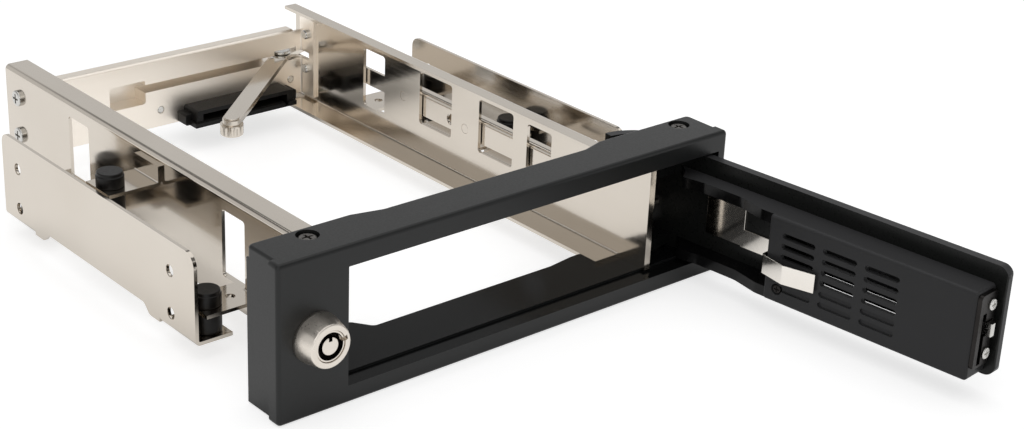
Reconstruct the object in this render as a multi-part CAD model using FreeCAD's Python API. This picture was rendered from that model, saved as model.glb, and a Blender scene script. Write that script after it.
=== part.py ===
import FreeCAD, Part
import math
import os

# Trayless hot-swap bay for one 3.5-inch drive, drawn in millimetres.
# X runs to the right seen from the front, Y runs rearward from the front face, Z is up.
# The door is drawn closed and then turned open, which is the rest pose.

V = FreeCAD.Vector
X = V(1, 0, 0)
Y = V(0, 1, 0)
Z = V(0, 0, 1)

# Fits
RUN_FIT = 0.05
MOVE_GAP = 0.3
SLOT_FIT = 0.3
PART_FIT = 0.1

# Widths that add up to the front plate
LOCK_COLUMN = 20.45
CAGE_INSET = 0.3
CAGE_WIDTH = 102.5
HINGE_POCKET = 25.25

# Front frame
PLATE_H = 42.5
PLATE_T = 4.0
PLATE_CORNER = 1.2
PLATE_EDGE = 1.1
BODY_INSET = 1.25
BODY_LIFT = 0.4
END_DEPTH = 14.6
MID_DEPTH = 12.6
RAMP_LEFT_IN = 10.2
RAMP_LEFT_RUN = 9.0
RAMP_RIGHT_IN = 9.7
RAMP_RIGHT_RUN = 6.8
WALL_T = 1.6
END_WALL = 1.7
OPEN_LOW = 4.9
TOP_BAR = 5.6
ROOF_T = 4.3
ROOF_EDGE = 0.8
FLOOR_T = 3.0
FLOOR_STEP = 0.7
FLOOR_REAR = 20.5
CORNER_DEEP = 5.5
CORNER_WIDE = 19.0
TONGUE_R = 9.9
BOSS_R = 4.8
SCREW_SINK = 2.2
SCREW_HEAD_R = 2.55
SCREW_POCKET_R = 2.95
SCREW_LEFT_IN = 15.85
SCREW_RIGHT_IN = 8.35
SCREW_LEFT_Y = 10.5
SCREW_RIGHT_Y = 10.7
RIB_COUNT = 9
RIB_T = 1.2

# Cage
SHEET = 1.0
BEND = 0.5
TOP_DROP = 0.2
CAGE_REAR = 169.5
LEDGE = 8.5
FLANGE_LEFT = 6.2
FLANGE_RIGHT = 4.4
FLANGE_START = 19.0
LEDGE_START = 14.0
FRONT_GAP = 0.6
EAR_LEFT = 9.0
EAR_FRONT = 5.0
EAR_REAR = 14.0
WINDOW_R = 1.0
WINDOW_LOW = 13.5
WINDOW_TOP = 4.3
WINDOW_FRONT_Y = 43.5
WINDOW_FRONT_L = 10.5
WINDOW_REAR_Y = 121.5
WINDOW_REAR_L = 11.0
SIGHT_LOW = 16.4
SIGHT_TOP = 3.6
SIGHT_L = 15.5
SIGHT_Y1 = 60.2
SIGHT_Y2 = 88.4
GUIDE_TAB = 5.0
FRONT_HEM = 2.0

# Rear panel
PANEL_BACK = 4.5
PANEL_DROP = 7.0
PANEL_LOW = 7.6
PANEL_FLANGE = 6.7
PANEL_FLANGE_DROP = 1.8
PANEL_LIP = 4.5
POCKET_DEEP = 6.4
POCKET_WALL = 0.8
POCKET_W = 12.5
PANEL_SCREW_Z = (16.9, 28.5)
PANEL_SCREW_BACK = 3.0
SCREW_R = 1.5

# Side brackets and dampers
BRACKET_LOW = 5.1
BRACKET_HIGH = 30.3
BRACKET_LEAD = 11.4
BRACKET_TRAIL = 8.55
BRACKET_REACH = 11.0
BRACKET_FOOT = 16.0
BRACKET_RELIEF = 2.6
HOLE_Y = 49.4
HOLE_PITCH_Y = 79.25
HOLE_Z = 9.9
HOLE_PITCH_Z = 11.94
HOLE_R = 1.7
DAMPER_IN = 6.5
DAMPER_R = 3.8
DAMPER_NECK = 2.7
DAMPER_HEAD = 4.2
DAMPER_FOOT = 6.4
DAMPER_ROOF = 1.4
DAMPER_MID_FOOT = {-1: 7.5, 1: 6.0}
DAMPER_END_IN = 4.8
DAMPER_MID_Y = {-1: 89.0, 1: 82.0}
TAB_W = 12.0
TAB_HOLE_R = 1.3
TAB_HOLE_OUT = 6.0

# Lock
LOCK_INSET = 10.9
LOCK_RISE = -0.1
LOCK_OUT = 6.2
LOCK_FACE_R = 5.65
LOCK_BASE_R = 6.7
LOCK_BARREL_R = 5.5
PLUG_R = 4.1
PLUG_SINK = 0.3
POST_R = 2.35
KEYWAY_R = 3.6
KEYWAY_DEEP = 4.5
NUT_FLATS = 13.0
NUT_T = 2.0
NOTCH_TURN = 75.0
CAM_T = 1.0
CAM_HALF = 3.0
CAM_BITE = 0.8

# Door
HINGE_SIDE = 6.0
HINGE_Y = 13.4
DOOR_SWING = 96.0
DOOR_GAP = 0.35
PIN_R = 1.5
SHELL_FRONT = 0.2
SHELL_T = 2.6
SHELL_GAP_LOW = 1.0
SHELL_GAP_HIGH = 0.8
SHELL_CORNER = 3.0
TAIL_GAP = 0.4
TAIL_END = -10.0
BOX_END_IN = 3.15
BOX_HINGE_IN = 42.5
BOX_DEEP = 8.3
BOX_GAP_LOW = 1.0
BOX_DROP = 5.0
BOX_WALL = 1.5
BOX_EDGE = 0.9
ARM_T = 3.0
HUB_R = 4.0
ARM_SWEEP = 12.2
VENT_FIRST = 9.8
VENT_STEP = 12.95
VENT_COLUMN_COUNT = 3
VENT_LENGTH = 10.5
VENT_HEIGHT = 1.6
VENT_DROP = 4.7
VENT_REST = 4.55
VENT_ROW_COUNT = 6
VENT_OPEN_COUNT = 4
VENT_BLIND = 0.6
GRILLE_IN = 8.0
GRILLE_T = 1.2
LEAF_T = 0.5
LEAF_RISE = 7.6
LEAF_W = 5.4
LEAF_BOW = 2.4
LEAF_TIP_IN = 16.5
ANCHOR_IN = 13.2
ANCHOR_L = 13.0
ANCHOR_RISE = 7.9
ANCHOR_DROP = 4.6
COVER_SCREW_IN = 4.3
COVER_SCREW_RISE = 4.0
COVER_SCREW_R = 0.8
COVER_HEAD_R = 1.3

# Latch in the door's free end
LATCH_T = 1.2
LATCH_MARGIN = 0.5
LATCH_LOW_IN = 3.4
LATCH_HIGH_IN = 0.8
LATCH_SCREW_IN = 3.4
BOLT_T = 2.7
BOLT_H = 3.6
BOLT_DROP = 2.5
BOLT_SHY = 0.6
BOLT_LENGTH = 9.0
BOLT_IN = 2.0
SPRING_T = 0.25
SPRING_LENGTH = 7.0
SPRING_FOLD_COUNT = 6
CAM_GAP = 0.6

# Eject linkage
PIVOT_IN = 7.4
PIVOT_BACK = 2.5
PIVOT_R = 1.8
LEVER_SWING = 41.5
LEVER_LENGTH = 60.0
LEVER_HALF = 2.8
LEVER_DROP = 9.5
LEVER_REACH = 6.7
LEVER_T = 1.6
LINK_R = 1.25
STUD_R = 3.5
STUD_H = 3.5
FLUTE_COUNT = 12
FLUTE_R = 0.55
BAR_GAP = 0.3
BAR_FRONT = 13.7
BAR_LOW = 18.5
BAR_H = 7.5
BAR_LIP = 3.0
BAR_STEP = 108.0
BAR_THIN_RISE = 1.5
BAR_THIN_H = 5.3
GUIDE_Y1 = 82.0
GUIDE_Y2 = 112.0
GUIDE_R = 1.5
GUIDE_RISE = 3.1

# Backplane
BOARD_T = 1.6
BOARD_LEFT = 11.0
BOARD_RIGHT_IN = 2.5
BOARD_GAP = 1.8
RECEPT_DEEP = 8.0
RECEPT_W = 36.0
RECEPT_RIGHT_IN = 10.0
RECEPT_EAR = 2.4
RECEPT_LOW = 7.8
RECEPT_H = 5.2
RECEPT_LIP = 0.8
RECEPT_LIP_SIDE = 1.0
DATA_COUNT = 7
POWER_COUNT = 15
PIN_PITCH = 1.27
DATA_HEAD_W = 13.0
DATA_HEAD_H = 5.4
DATA_HEAD_DEEP = 7.5
POWER_HEAD_W = 21.0
POWER_HEAD_DROP = 1.6
POWER_HEAD_DEEP = 8.5
HEAD_GAP = 3.5

# Widths and places across
PLATE_W = LOCK_COLUMN + CAGE_INSET + CAGE_WIDTH + HINGE_POCKET
HALF_W = PLATE_W / 2
BODY_X = HALF_W - BODY_INSET
OPEN_LEFT = LOCK_COLUMN - HALF_W
OPEN_RIGHT = BODY_X - END_WALL
CAGE_LEFT = OPEN_LEFT + CAGE_INSET
CAGE_RIGHT = CAGE_LEFT + CAGE_WIDTH
LEFT_OUT = CAGE_LEFT - SHEET
RIGHT_OUT = CAGE_RIGHT + SHEET
BRACKET_X = BODY_X
DAMPER_X = BRACKET_X - DAMPER_IN
LOCK_X = LOCK_INSET - HALF_W
HINGE_X = CAGE_RIGHT + HINGE_SIDE
TAIL_R = OPEN_RIGHT - TAIL_GAP - HINGE_X
SHELL_END = OPEN_LEFT + DOOR_GAP
BOX_END = SHELL_END + BOX_END_IN
BOX_HINGE = HINGE_X - BOX_HINGE_IN
VENT_COLUMNS = [BOX_HINGE - VENT_FIRST - k * VENT_STEP for k in range(VENT_COLUMN_COUNT)]
ANCHOR_X = (BOX_HINGE + ANCHOR_IN, BOX_HINGE + ANCHOR_IN + ANCHOR_L)
BOLT_TIP = OPEN_LEFT + BOLT_SHY
CAM_REACH = BOX_END + CAM_BITE - LOCK_X
BAR_X = RIGHT_OUT + BAR_GAP
PIVOT_X = CAGE_RIGHT - PIVOT_IN
LINK_X = BAR_X + SHEET + LINK_R + RUN_FIT
RECEPT_X = (CAGE_RIGHT - RECEPT_RIGHT_IN - RECEPT_W, CAGE_RIGHT - RECEPT_RIGHT_IN)
BOARD_X = (RECEPT_X[0] - BOARD_LEFT, CAGE_RIGHT - BOARD_RIGHT_IN)
BEZEL_SCREWS = ((SCREW_LEFT_IN - HALF_W, SCREW_LEFT_Y), (HALF_W - SCREW_RIGHT_IN, SCREW_RIGHT_Y))

# Places in depth
LEFT_FRONT = PLATE_T + 0.2
SHELL_BACK = SHELL_FRONT + SHELL_T
RIGHT_FRONT = SHELL_BACK + FRONT_GAP
FLOOR_CORNER = FLOOR_REAR + CORNER_DEEP
BOX_REAR = SHELL_BACK + BOX_DEEP
BOLT_Y = (PLATE_T + MOVE_GAP, PLATE_T + MOVE_GAP + BOLT_T)
CAM_Y = BOLT_Y[1] + CAM_GAP
LOCK_BARREL_Y = CAM_Y - CAM_GAP
LATCH_Y = (SHELL_BACK + LATCH_MARGIN, BOX_REAR - LATCH_MARGIN)
LATCH_SCREW_Y = (BOLT_Y[0] + BOLT_Y[1]) / 2
PANEL_Y = CAGE_REAR - PANEL_BACK
PANEL_SCREW_Y = PANEL_Y - PANEL_SCREW_BACK
PIVOT_Y = PANEL_Y + PIVOT_BACK
RECEPT_FACE = PANEL_Y - RECEPT_DEEP
BRACKET_FRONT = HOLE_Y - BRACKET_LEAD
BRACKET_REAR = HOLE_Y + HOLE_PITCH_Y + BRACKET_TRAIL
DAMPER_FRONT = BRACKET_FRONT + DAMPER_END_IN
DAMPER_REAR = BRACKET_REAR - DAMPER_END_IN

# Heights
OPEN_HIGH = PLATE_H - TOP_BAR
CEILING = PLATE_H - ROOF_T
EAR_LOW = CEILING - SHEET
FLOOR_TOP = OPEN_LOW + FLOOR_STEP
FLOOR_LOW = FLOOR_TOP - FLOOR_T
CAGE_TOP = OPEN_HIGH - TOP_DROP
LOCK_Z = PLATE_H / 2 + LOCK_RISE
SHELL_LOW = OPEN_LOW + SHELL_GAP_LOW
SHELL_HIGH = OPEN_HIGH - SHELL_GAP_HIGH
BOX_LOW = FLOOR_TOP + BOX_GAP_LOW
BOX_HIGH = SHELL_HIGH - BOX_DROP
VENT_TOP = BOX_HIGH - VENT_DROP
VENT_PITCH = (VENT_TOP - BOX_LOW - VENT_REST) / (VENT_ROW_COUNT - 1)
LEAF_LOW = BOX_LOW + LEAF_RISE
ANCHOR_Z = (BOX_LOW + ANCHOR_RISE, BOX_HIGH - ANCHOR_DROP)
COVER_SCREW = (BOX_HINGE - COVER_SCREW_IN, BOX_LOW + COVER_SCREW_RISE)
LATCH_Z = (BOX_LOW + LATCH_LOW_IN, BOX_HIGH - LATCH_HIGH_IN)
LATCH_SCREW_Z = (LATCH_Z[0] + LATCH_SCREW_IN, LATCH_Z[1] - LATCH_SCREW_IN)
BOLT_Z = (LOCK_Z - BOLT_DROP, LOCK_Z - BOLT_DROP + BOLT_H)
CAM_SLOT_Z = (LOCK_Z - CAM_REACH * 0.75, LOCK_Z + CAM_HALF + 0.7)
PANEL_TOP = CAGE_TOP - PANEL_DROP
BAR_HIGH = BAR_LOW + BAR_H
BAR_THIN = (BAR_LOW + BAR_THIN_RISE, BAR_LOW + BAR_THIN_RISE + BAR_THIN_H)
LEVER_LOW = PANEL_TOP - LEVER_DROP
LEVER_HIGH = LEVER_LOW + LEVER_T
BAR_RAISE = LEVER_HIGH + 2 * MOVE_GAP
STUD_LOW = LEVER_LOW - STUD_H
TAB_LOW = BRACKET_LOW + SHEET + DAMPER_FOOT
TAB_MID = {-1: BAR_HIGH + 2.5, 1: BAR_LOW - 1.2 - SHEET}
SHELF_MID = {side: tab - DAMPER_MID_FOOT[side] for side, tab in TAB_MID.items()}
WINDOW_HIGH = CAGE_TOP - WINDOW_TOP
SIGHT_HIGH = CAGE_TOP - SIGHT_TOP
BOARD_Z = (PANEL_LOW, LEVER_LOW - BOARD_GAP)
RECEPT_Z = (RECEPT_LOW, RECEPT_LOW + RECEPT_H)
POWER_HEAD_H = BOARD_Z[1] - BOARD_Z[0] - POWER_HEAD_DROP
GUIDES = ((GUIDE_Y1, BAR_LOW + GUIDE_RISE), (GUIDE_Y2, (BAR_THIN[0] + BAR_THIN[1]) / 2))

# Cut-outs in the cage walls as front, rear, low and high edges
WINDOW_FRONT = (WINDOW_FRONT_Y, WINDOW_FRONT_Y + WINDOW_FRONT_L, WINDOW_LOW, WINDOW_HIGH)
WINDOW_REAR = (WINDOW_REAR_Y, WINDOW_REAR_Y + WINDOW_REAR_L, WINDOW_LOW, WINDOW_HIGH)
WINDOWS_EJECT = [(y, y + SIGHT_L, SIGHT_LOW, SIGHT_HIGH) for y in (SIGHT_Y1, SIGHT_Y2)]
HOLES = [(HOLE_Y + i * HOLE_PITCH_Y, HOLE_Z + j * HOLE_PITCH_Z) for i in (0, 1) for j in (0, 1)]

# Linkage sizes that make the door, bar and lever move together
LINK_ARM = LINK_X - PIVOT_X
HALF_LEVER = math.radians(LEVER_SWING / 2)
TRAVEL = 2 * LINK_ARM * math.tan(HALF_LEVER)
HALF_DOOR = math.radians(DOOR_SWING / 2)
CRANK_R = TRAVEL / (2 * math.sin(HALF_DOOR))


def spot(u, v, w, plane):
    """Point at profile place u, v and depth w."""
    if plane == "XY":
        return V(u, v, w)
    if plane == "XZ":
        return V(u, w, v)
    return V(w, u, v)


def outline(points, plane, level):
    """Closed wire through points (u, v) or (u, v, corner radius)."""
    pts = [(p[0], p[1], p[2] if len(p) > 2 else 0.0) for p in points]
    corners = []
    for i, (u, v, r) in enumerate(pts):
        a = pts[i - 1]
        b = pts[(i + 1) % len(pts)]
        da = (a[0] - u, a[1] - v)
        db = (b[0] - u, b[1] - v)
        la = math.hypot(*da)
        lb = math.hypot(*db)
        ua = (da[0] / la, da[1] / la)
        ub = (db[0] / lb, db[1] / lb)
        dot = max(-1.0, min(1.0, ua[0] * ub[0] + ua[1] * ub[1]))
        half = math.acos(dot) / 2
        if r <= 0 or half > 1.56:
            corners.append(((u, v), None, (u, v)))
            continue
        back = r / math.tan(half)
        sum_u = ua[0] + ub[0]
        sum_v = ua[1] + ub[1]
        ls = math.hypot(sum_u, sum_v)
        reach = r / math.sin(half) - r
        mid = (u + sum_u / ls * reach, v + sum_v / ls * reach)
        corners.append(((u + ua[0] * back, v + ua[1] * back), mid,
                        (u + ub[0] * back, v + ub[1] * back)))
    edges = []
    for i, (start, mid, end) in enumerate(corners):
        if mid:
            arc = Part.Arc(spot(*start, level, plane), spot(*mid, level, plane), spot(*end, level, plane))
            edges.append(arc.toShape())
        p = spot(*end, level, plane)
        q = spot(*corners[(i + 1) % len(corners)][0], level, plane)
        if p.distanceToPoint(q) > 1e-6:
            edges.append(Part.makeLine(p, q))
    return Part.Wire(edges)


def prism(points, low, high, plane="XY"):
    """Solid of a rounded outline between two levels along the plane's normal."""
    face = Part.Face(outline(points, plane, low))
    return face.extrude(spot(0, 0, high - low, plane))


def folded(path, t, inner=BEND):
    """Outline of sheet bent along a path; positive t lies to the left of the path."""
    def normal(p, q):
        d = math.hypot(q[0] - p[0], q[1] - p[1])
        return (-(q[1] - p[1]) / d, (q[0] - p[0]) / d)
    n = [normal(path[i], path[i + 1]) for i in range(len(path) - 1)]
    base = [path[0]]
    far = [(path[0][0] + n[0][0] * t, path[0][1] + n[0][1] * t)]
    for i in range(1, len(path) - 1):
        a = n[i - 1]
        b = n[i]
        turn = a[0] * b[1] - a[1] * b[0]
        k = t / (1 + a[0] * b[0] + a[1] * b[1])
        inside = turn * t > 0
        r_base = inner + abs(t) if inside else inner
        r_far = inner if inside else inner + abs(t)
        base.append((path[i][0], path[i][1], r_base))
        far.append((path[i][0] + (a[0] + b[0]) * k, path[i][1] + (a[1] + b[1]) * k, r_far))
    base.append(path[-1])
    far.append((path[-1][0] + n[-1][0] * t, path[-1][1] + n[-1][1] * t))
    return base + far[::-1]


def block(x0, x1, y0, y1, z0, z1):
    """Box between two corners."""
    return Part.makeBox(x1 - x0, y1 - y0, z1 - z0, V(x0, y0, z0))


def rod(r, at, axis, length):
    """Cylinder from a point along an axis."""
    return Part.makeCylinder(r, length, V(*at), axis)


def obround(a, b, r, low, high, plane="XY"):
    """Straight slot with round ends between two centres."""
    d = math.hypot(b[0] - a[0], b[1] - a[1])
    e = ((b[0] - a[0]) / d, (b[1] - a[1]) / d)
    n = (-e[1], e[0])
    pts = [(a[0] - (e[0] + n[0]) * r, a[1] - (e[1] + n[1]) * r, r),
           (b[0] + (e[0] - n[0]) * r, b[1] + (e[1] - n[1]) * r, r),
           (b[0] + (e[0] + n[0]) * r, b[1] + (e[1] + n[1]) * r, r),
           (a[0] - (e[0] - n[0]) * r, a[1] - (e[1] - n[1]) * r, r)]
    return prism(pts, low, high, plane)


def window(y0, y1, z0, z1, x0, x1):
    """Round-cornered cutter through a side wall."""
    r = WINDOW_R
    return prism([(y0, z0, r), (y1, z0, r), (y1, z1, r), (y0, z1, r)], x0, x1, "YZ")


def join(shapes):
    """One solid out of touching or overlapping shapes."""
    return shapes[0].multiFuse(list(shapes[1:])).removeSplitter()


def turned(profile):
    """Solid of revolution about Z from points (radius, height, corner radius)."""
    face = Part.Face(outline(profile, "XZ", 0))
    return face.revolve(V(0, 0, 0), Z, 360)


def aim(shape, at, facing):
    """Turn a shape drawn along Z to face a direction and set it down at a point."""
    moved = shape.copy()
    moved.Placement = FreeCAD.Placement(V(*at), FreeCAD.Rotation(Z, facing))
    return moved


def screw(head_r, head_h, shank_r, shank_l, at, facing):
    """Cross-head screw whose head seats at a point and faces a direction."""
    tip = 0.3
    body = turned([(0, -shank_l), (shank_r - tip, -shank_l), (shank_r, tip - shank_l), (shank_r, 0),
                   (head_r, 0), (head_r, head_h, head_h * 0.45), (0, head_h)])
    arm = head_r * 0.62
    wide = head_r * 0.13
    deep = head_h * 0.55
    cross = join([block(-arm, arm, -wide, wide, head_h - deep, head_h + 1),
                  block(-wide, wide, -arm, arm, head_h - deep, head_h + 1)])
    return aim(body.cut(cross), at, facing)


def side_x(side, s):
    """X of a place s outside a cage wall's inner face."""
    return CAGE_LEFT - s if side < 0 else CAGE_RIGHT + s


def side_sheet(side, path, t, y0, y1):
    """Sheet folded in the XZ plane on one side of the cage, drawn outward from the wall."""
    pts = [(side_x(side, p[0]),) + tuple(p[1:]) for p in folded(path, t)]
    return prism(pts, y0, y1, "XZ")


def side_cut(side, s0, s1, y0, y1, z0, z1):
    """Box on one side of the cage between places measured outward from the wall."""
    a = side_x(side, s0)
    b = side_x(side, s1)
    return block(min(a, b), max(a, b), y0, y1, z0, z1)


def damper_spots(side):
    """Y, tab height and bracket shelf height of each damper on a side."""
    low = BRACKET_LOW + SHEET
    return ((DAMPER_FRONT, TAB_LOW, low), (DAMPER_MID_Y[side], TAB_MID[side], SHELF_MID[side]),
            (DAMPER_REAR, TAB_LOW, low))


def make_bezel():
    c = PLATE_CORNER
    edge = [(-HALF_W, 0, c), (HALF_W, 0, c), (HALF_W, PLATE_H, c), (-HALF_W, PLATE_H, c)]
    plate = prism(edge, 0, PLATE_T, "XZ")
    front = [e for e in plate.Edges if max(v.Point.y for v in e.Vertexes) < 1e-6]
    plate = plate.makeFillet(PLATE_EDGE, front)
    seat = PLATE_T / 2
    left = CAGE_LEFT + RAMP_LEFT_IN
    right = CAGE_RIGHT - RAMP_RIGHT_IN
    roof = prism([(-BODY_X, seat), (BODY_X, seat), (BODY_X, END_DEPTH, 1.5), (right, END_DEPTH, 3),
                  (right - RAMP_RIGHT_RUN, MID_DEPTH, 3), (left + RAMP_LEFT_RUN, MID_DEPTH, 3),
                  (left, END_DEPTH, 3), (-BODY_X, END_DEPTH, 1.5)], CEILING, PLATE_H)
    rear_edge = [e for e in roof.Edges
                 if min(v.Point.y for v in e.Vertexes) > seat + 1 and
                 min(v.Point.z for v in e.Vertexes) > PLATE_H - 1e-6]
    roof = roof.makeFillet(ROOF_EDGE, rear_edge)
    ends = [block(-BODY_X, -BODY_X + WALL_T, seat, END_DEPTH, BODY_LIFT, CEILING + 1),
            block(OPEN_RIGHT, BODY_X, seat, END_DEPTH, BODY_LIFT, CEILING + 1)]
    near = CAGE_LEFT + CORNER_WIDE
    floor = prism([(-BODY_X, seat), (BODY_X, seat), (BODY_X, END_DEPTH), (HINGE_X + 6, END_DEPTH),
                   (HINGE_X - 4, HINGE_Y + TONGUE_R - 1.2), (HINGE_X - 17, FLOOR_REAR + 1.2, 6),
                   (HINGE_X - 25, FLOOR_REAR, 6), (near + 4, FLOOR_REAR, 2), (near, FLOOR_CORNER, 2),
                   (LEFT_OUT - 1.5, FLOOR_CORNER, 2), (LEFT_OUT - 1.5, END_DEPTH), (-BODY_X, END_DEPTH)],
                  FLOOR_LOW, FLOOR_TOP)
    tongue = rod(TONGUE_R, (HINGE_X, HINGE_Y, FLOOR_LOW), Z, FLOOR_TOP - FLOOR_LOW)
    boss = rod(BOSS_R, (HINGE_X, HINGE_Y, FLOOR_LOW), Z, BOX_LOW - MOVE_GAP - FLOOR_LOW)
    step = (2 * BODY_X - 8) / (RIB_COUNT - 1)
    ribs = [block(-BODY_X + 4 + i * step - RIB_T / 2, -BODY_X + 4 + i * step + RIB_T / 2,
                  seat, END_DEPTH - 1, BODY_LIFT, FLOOR_LOW + 0.5) for i in range(RIB_COUNT)]
    cross = block(-BODY_X + 3, BODY_X - 3, END_DEPTH - 2, END_DEPTH - 2 + RIB_T, BODY_LIFT, FLOOR_LOW + 0.5)
    body = join([plate, roof, floor, tongue, boss, cross] + ends + ribs)
    cuts = [block(OPEN_LEFT, OPEN_RIGHT, -1, PLATE_T + 1, OPEN_LOW, FLOOR_TOP),
            block(OPEN_LEFT, OPEN_RIGHT, -1, PLATE_T, FLOOR_TOP, OPEN_HIGH),
            rod(LOCK_BARREL_R + PART_FIT, (LOCK_X, -1, LOCK_Z), Y, PLATE_T + 2),
            rod(PIN_R, (HINGE_X, HINGE_Y, FLOOR_LOW + 0.8), Z, 10)]
    for x, y in BEZEL_SCREWS:
        cuts.append(rod(SCREW_R + 0.2, (x, y, CEILING - 1), Z, 10))
        cuts.append(rod(SCREW_POCKET_R, (x, y, PLATE_H - SCREW_SINK), Z, 5))
    return body.cut(cuts)


def make_bezel_screws():
    seat = PLATE_H - SCREW_SINK
    return [screw(SCREW_HEAD_R, 1.7, SCREW_R, seat - EAR_LOW, (x, y, seat), Z) for x, y in BEZEL_SCREWS]


def make_rail(side):
    inner = CAGE_LEFT if side < 0 else CAGE_RIGHT
    flange = FLANGE_LEFT if side < 0 else FLANGE_RIGHT
    section = [(-flange, CAGE_TOP), (SHEET, CAGE_TOP), (SHEET, FLOOR_TOP), (-LEDGE, FLOOR_TOP)]
    pieces = [side_sheet(side, section, -SHEET, FLANGE_START, CAGE_REAR)]
    pieces.append(side_sheet(side, section[1:], -SHEET, LEDGE_START, FLANGE_START + 1))
    if side < 0:
        pieces.append(side_cut(side, 0, SHEET, LEFT_FRONT, LEDGE_START + 1, FLOOR_TOP, CEILING - 2))
        ear = [(0, LOCK_Z), (0, CEILING), (EAR_LEFT, CEILING)]
        pieces.append(side_sheet(side, ear, -SHEET, EAR_FRONT, EAR_REAR))
    else:
        pieces.append(side_cut(side, 0, SHEET, RIGHT_FRONT, LEDGE_START + 1, FLOOR_TOP, CAGE_TOP))
        root = [(0, CAGE_TOP - 4), (0, CEILING), (5, CEILING)]
        pieces.append(side_sheet(side, root, -SHEET, HINGE_Y, FLANGE_START - 1))
        tip = OPEN_RIGHT - 1.8
        ear = prism([(RIGHT_OUT + 1, HINGE_Y - 5, 1), (HINGE_X + 6, HINGE_Y - 5, 1),
                     (HINGE_X + 6.5, EAR_FRONT, 1), (tip, EAR_FRONT, 2), (tip, EAR_REAR + 1, 2),
                     (HINGE_X + 6, FLANGE_START - 1, 2),
                     (RIGHT_OUT + 1, FLANGE_START - 1)], EAR_LOW, CEILING)
        pieces.append(ear)
        pieces.append(block(CAGE_RIGHT, CAGE_RIGHT + FRONT_HEM, RIGHT_FRONT, RIGHT_FRONT + SHEET,
                            FLOOR_TOP, CAGE_TOP))
        for y0, y1, low, high in WINDOWS_EJECT:
            guide = [(0, low - 5), (0, low), (GUIDE_TAB, low)]
            pieces.append(side_sheet(side, guide, -SHEET, y0 + WINDOW_R, y1 - WINDOW_R))
    for y, tab, shelf in damper_spots(side):
        y0 = y - TAB_W / 2
        y1 = y + TAB_W / 2
        reach = DAMPER_X + DAMPER_R - abs(inner)
        if tab < BAR_LOW:
            pieces.append(side_sheet(side, [(reach, tab), (0, tab), (0, tab + 4)], -SHEET, y0, y1))
        else:
            leg = [(reach, tab), (SHEET, tab), (SHEET, CAGE_TOP - 2.5)]
            pieces.append(side_sheet(side, leg, -SHEET, y0, y1))
    rail = join(pieces)
    x0 = min(side_x(side, -0.5), side_x(side, SHEET + 0.5))
    x1 = x0 + SHEET + 1.0
    cuts = [window(*WINDOW_FRONT, x0, x1), window(*WINDOW_REAR, x0, x1)]
    for y, tab, shelf in damper_spots(side):
        at = side_x(side, DAMPER_X - abs(inner))
        cuts.append(rod(DAMPER_NECK, (at, y, tab - 1), Z, SHEET + 2))
        if tab == TAB_LOW:
            cuts.append(rod(TAB_HOLE_R, (side_x(side, TAB_HOLE_OUT), y, tab - 1), Z, SHEET + 2))
    for z in PANEL_SCREW_Z:
        cuts.append(rod(SCREW_R + PART_FIT, (x0 - 1, PANEL_SCREW_Y, z), X, 4))
    if side < 0:
        for y in (DAMPER_FRONT, DAMPER_REAR):
            y0 = y - TAB_W / 2 - 0.6
            y1 = y0 + TAB_W + 1.2
            cuts.append(side_cut(side, -0.1, SHEET + 0.1, y0, y1, FLOOR_TOP + SHEET + 1, TAB_LOW))
        past = CAM_Y + CAM_T + 0.9
        cuts.append(side_cut(side, -0.5, SHEET + 0.5, 0, past, FLOOR_TOP + SHEET, CAM_SLOT_Z[1]))
        x, y = BEZEL_SCREWS[0]
    else:
        cuts += [window(*w, x0, x1) for w in WINDOWS_EJECT]
        swing = PIVOT_Y - LEVER_REACH
        cuts.append(side_cut(side, -0.5, SHEET + 0.5, swing, CAGE_REAR + 1,
                             LEVER_LOW - 0.8, LEVER_HIGH + 0.8))
        for y, z in GUIDES:
            cuts.append(rod(GUIDE_R, (x0 - 1, y, z), X, 4))
        cuts.append(rod(PIN_R, (HINGE_X, HINGE_Y, EAR_LOW - 1), Z, 4))
        x, y = BEZEL_SCREWS[1]
    cuts.append(rod(SCREW_R + PART_FIT, (x, y, EAR_LOW - 1), Z, 4))
    return rail.cut(cuts)


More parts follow.
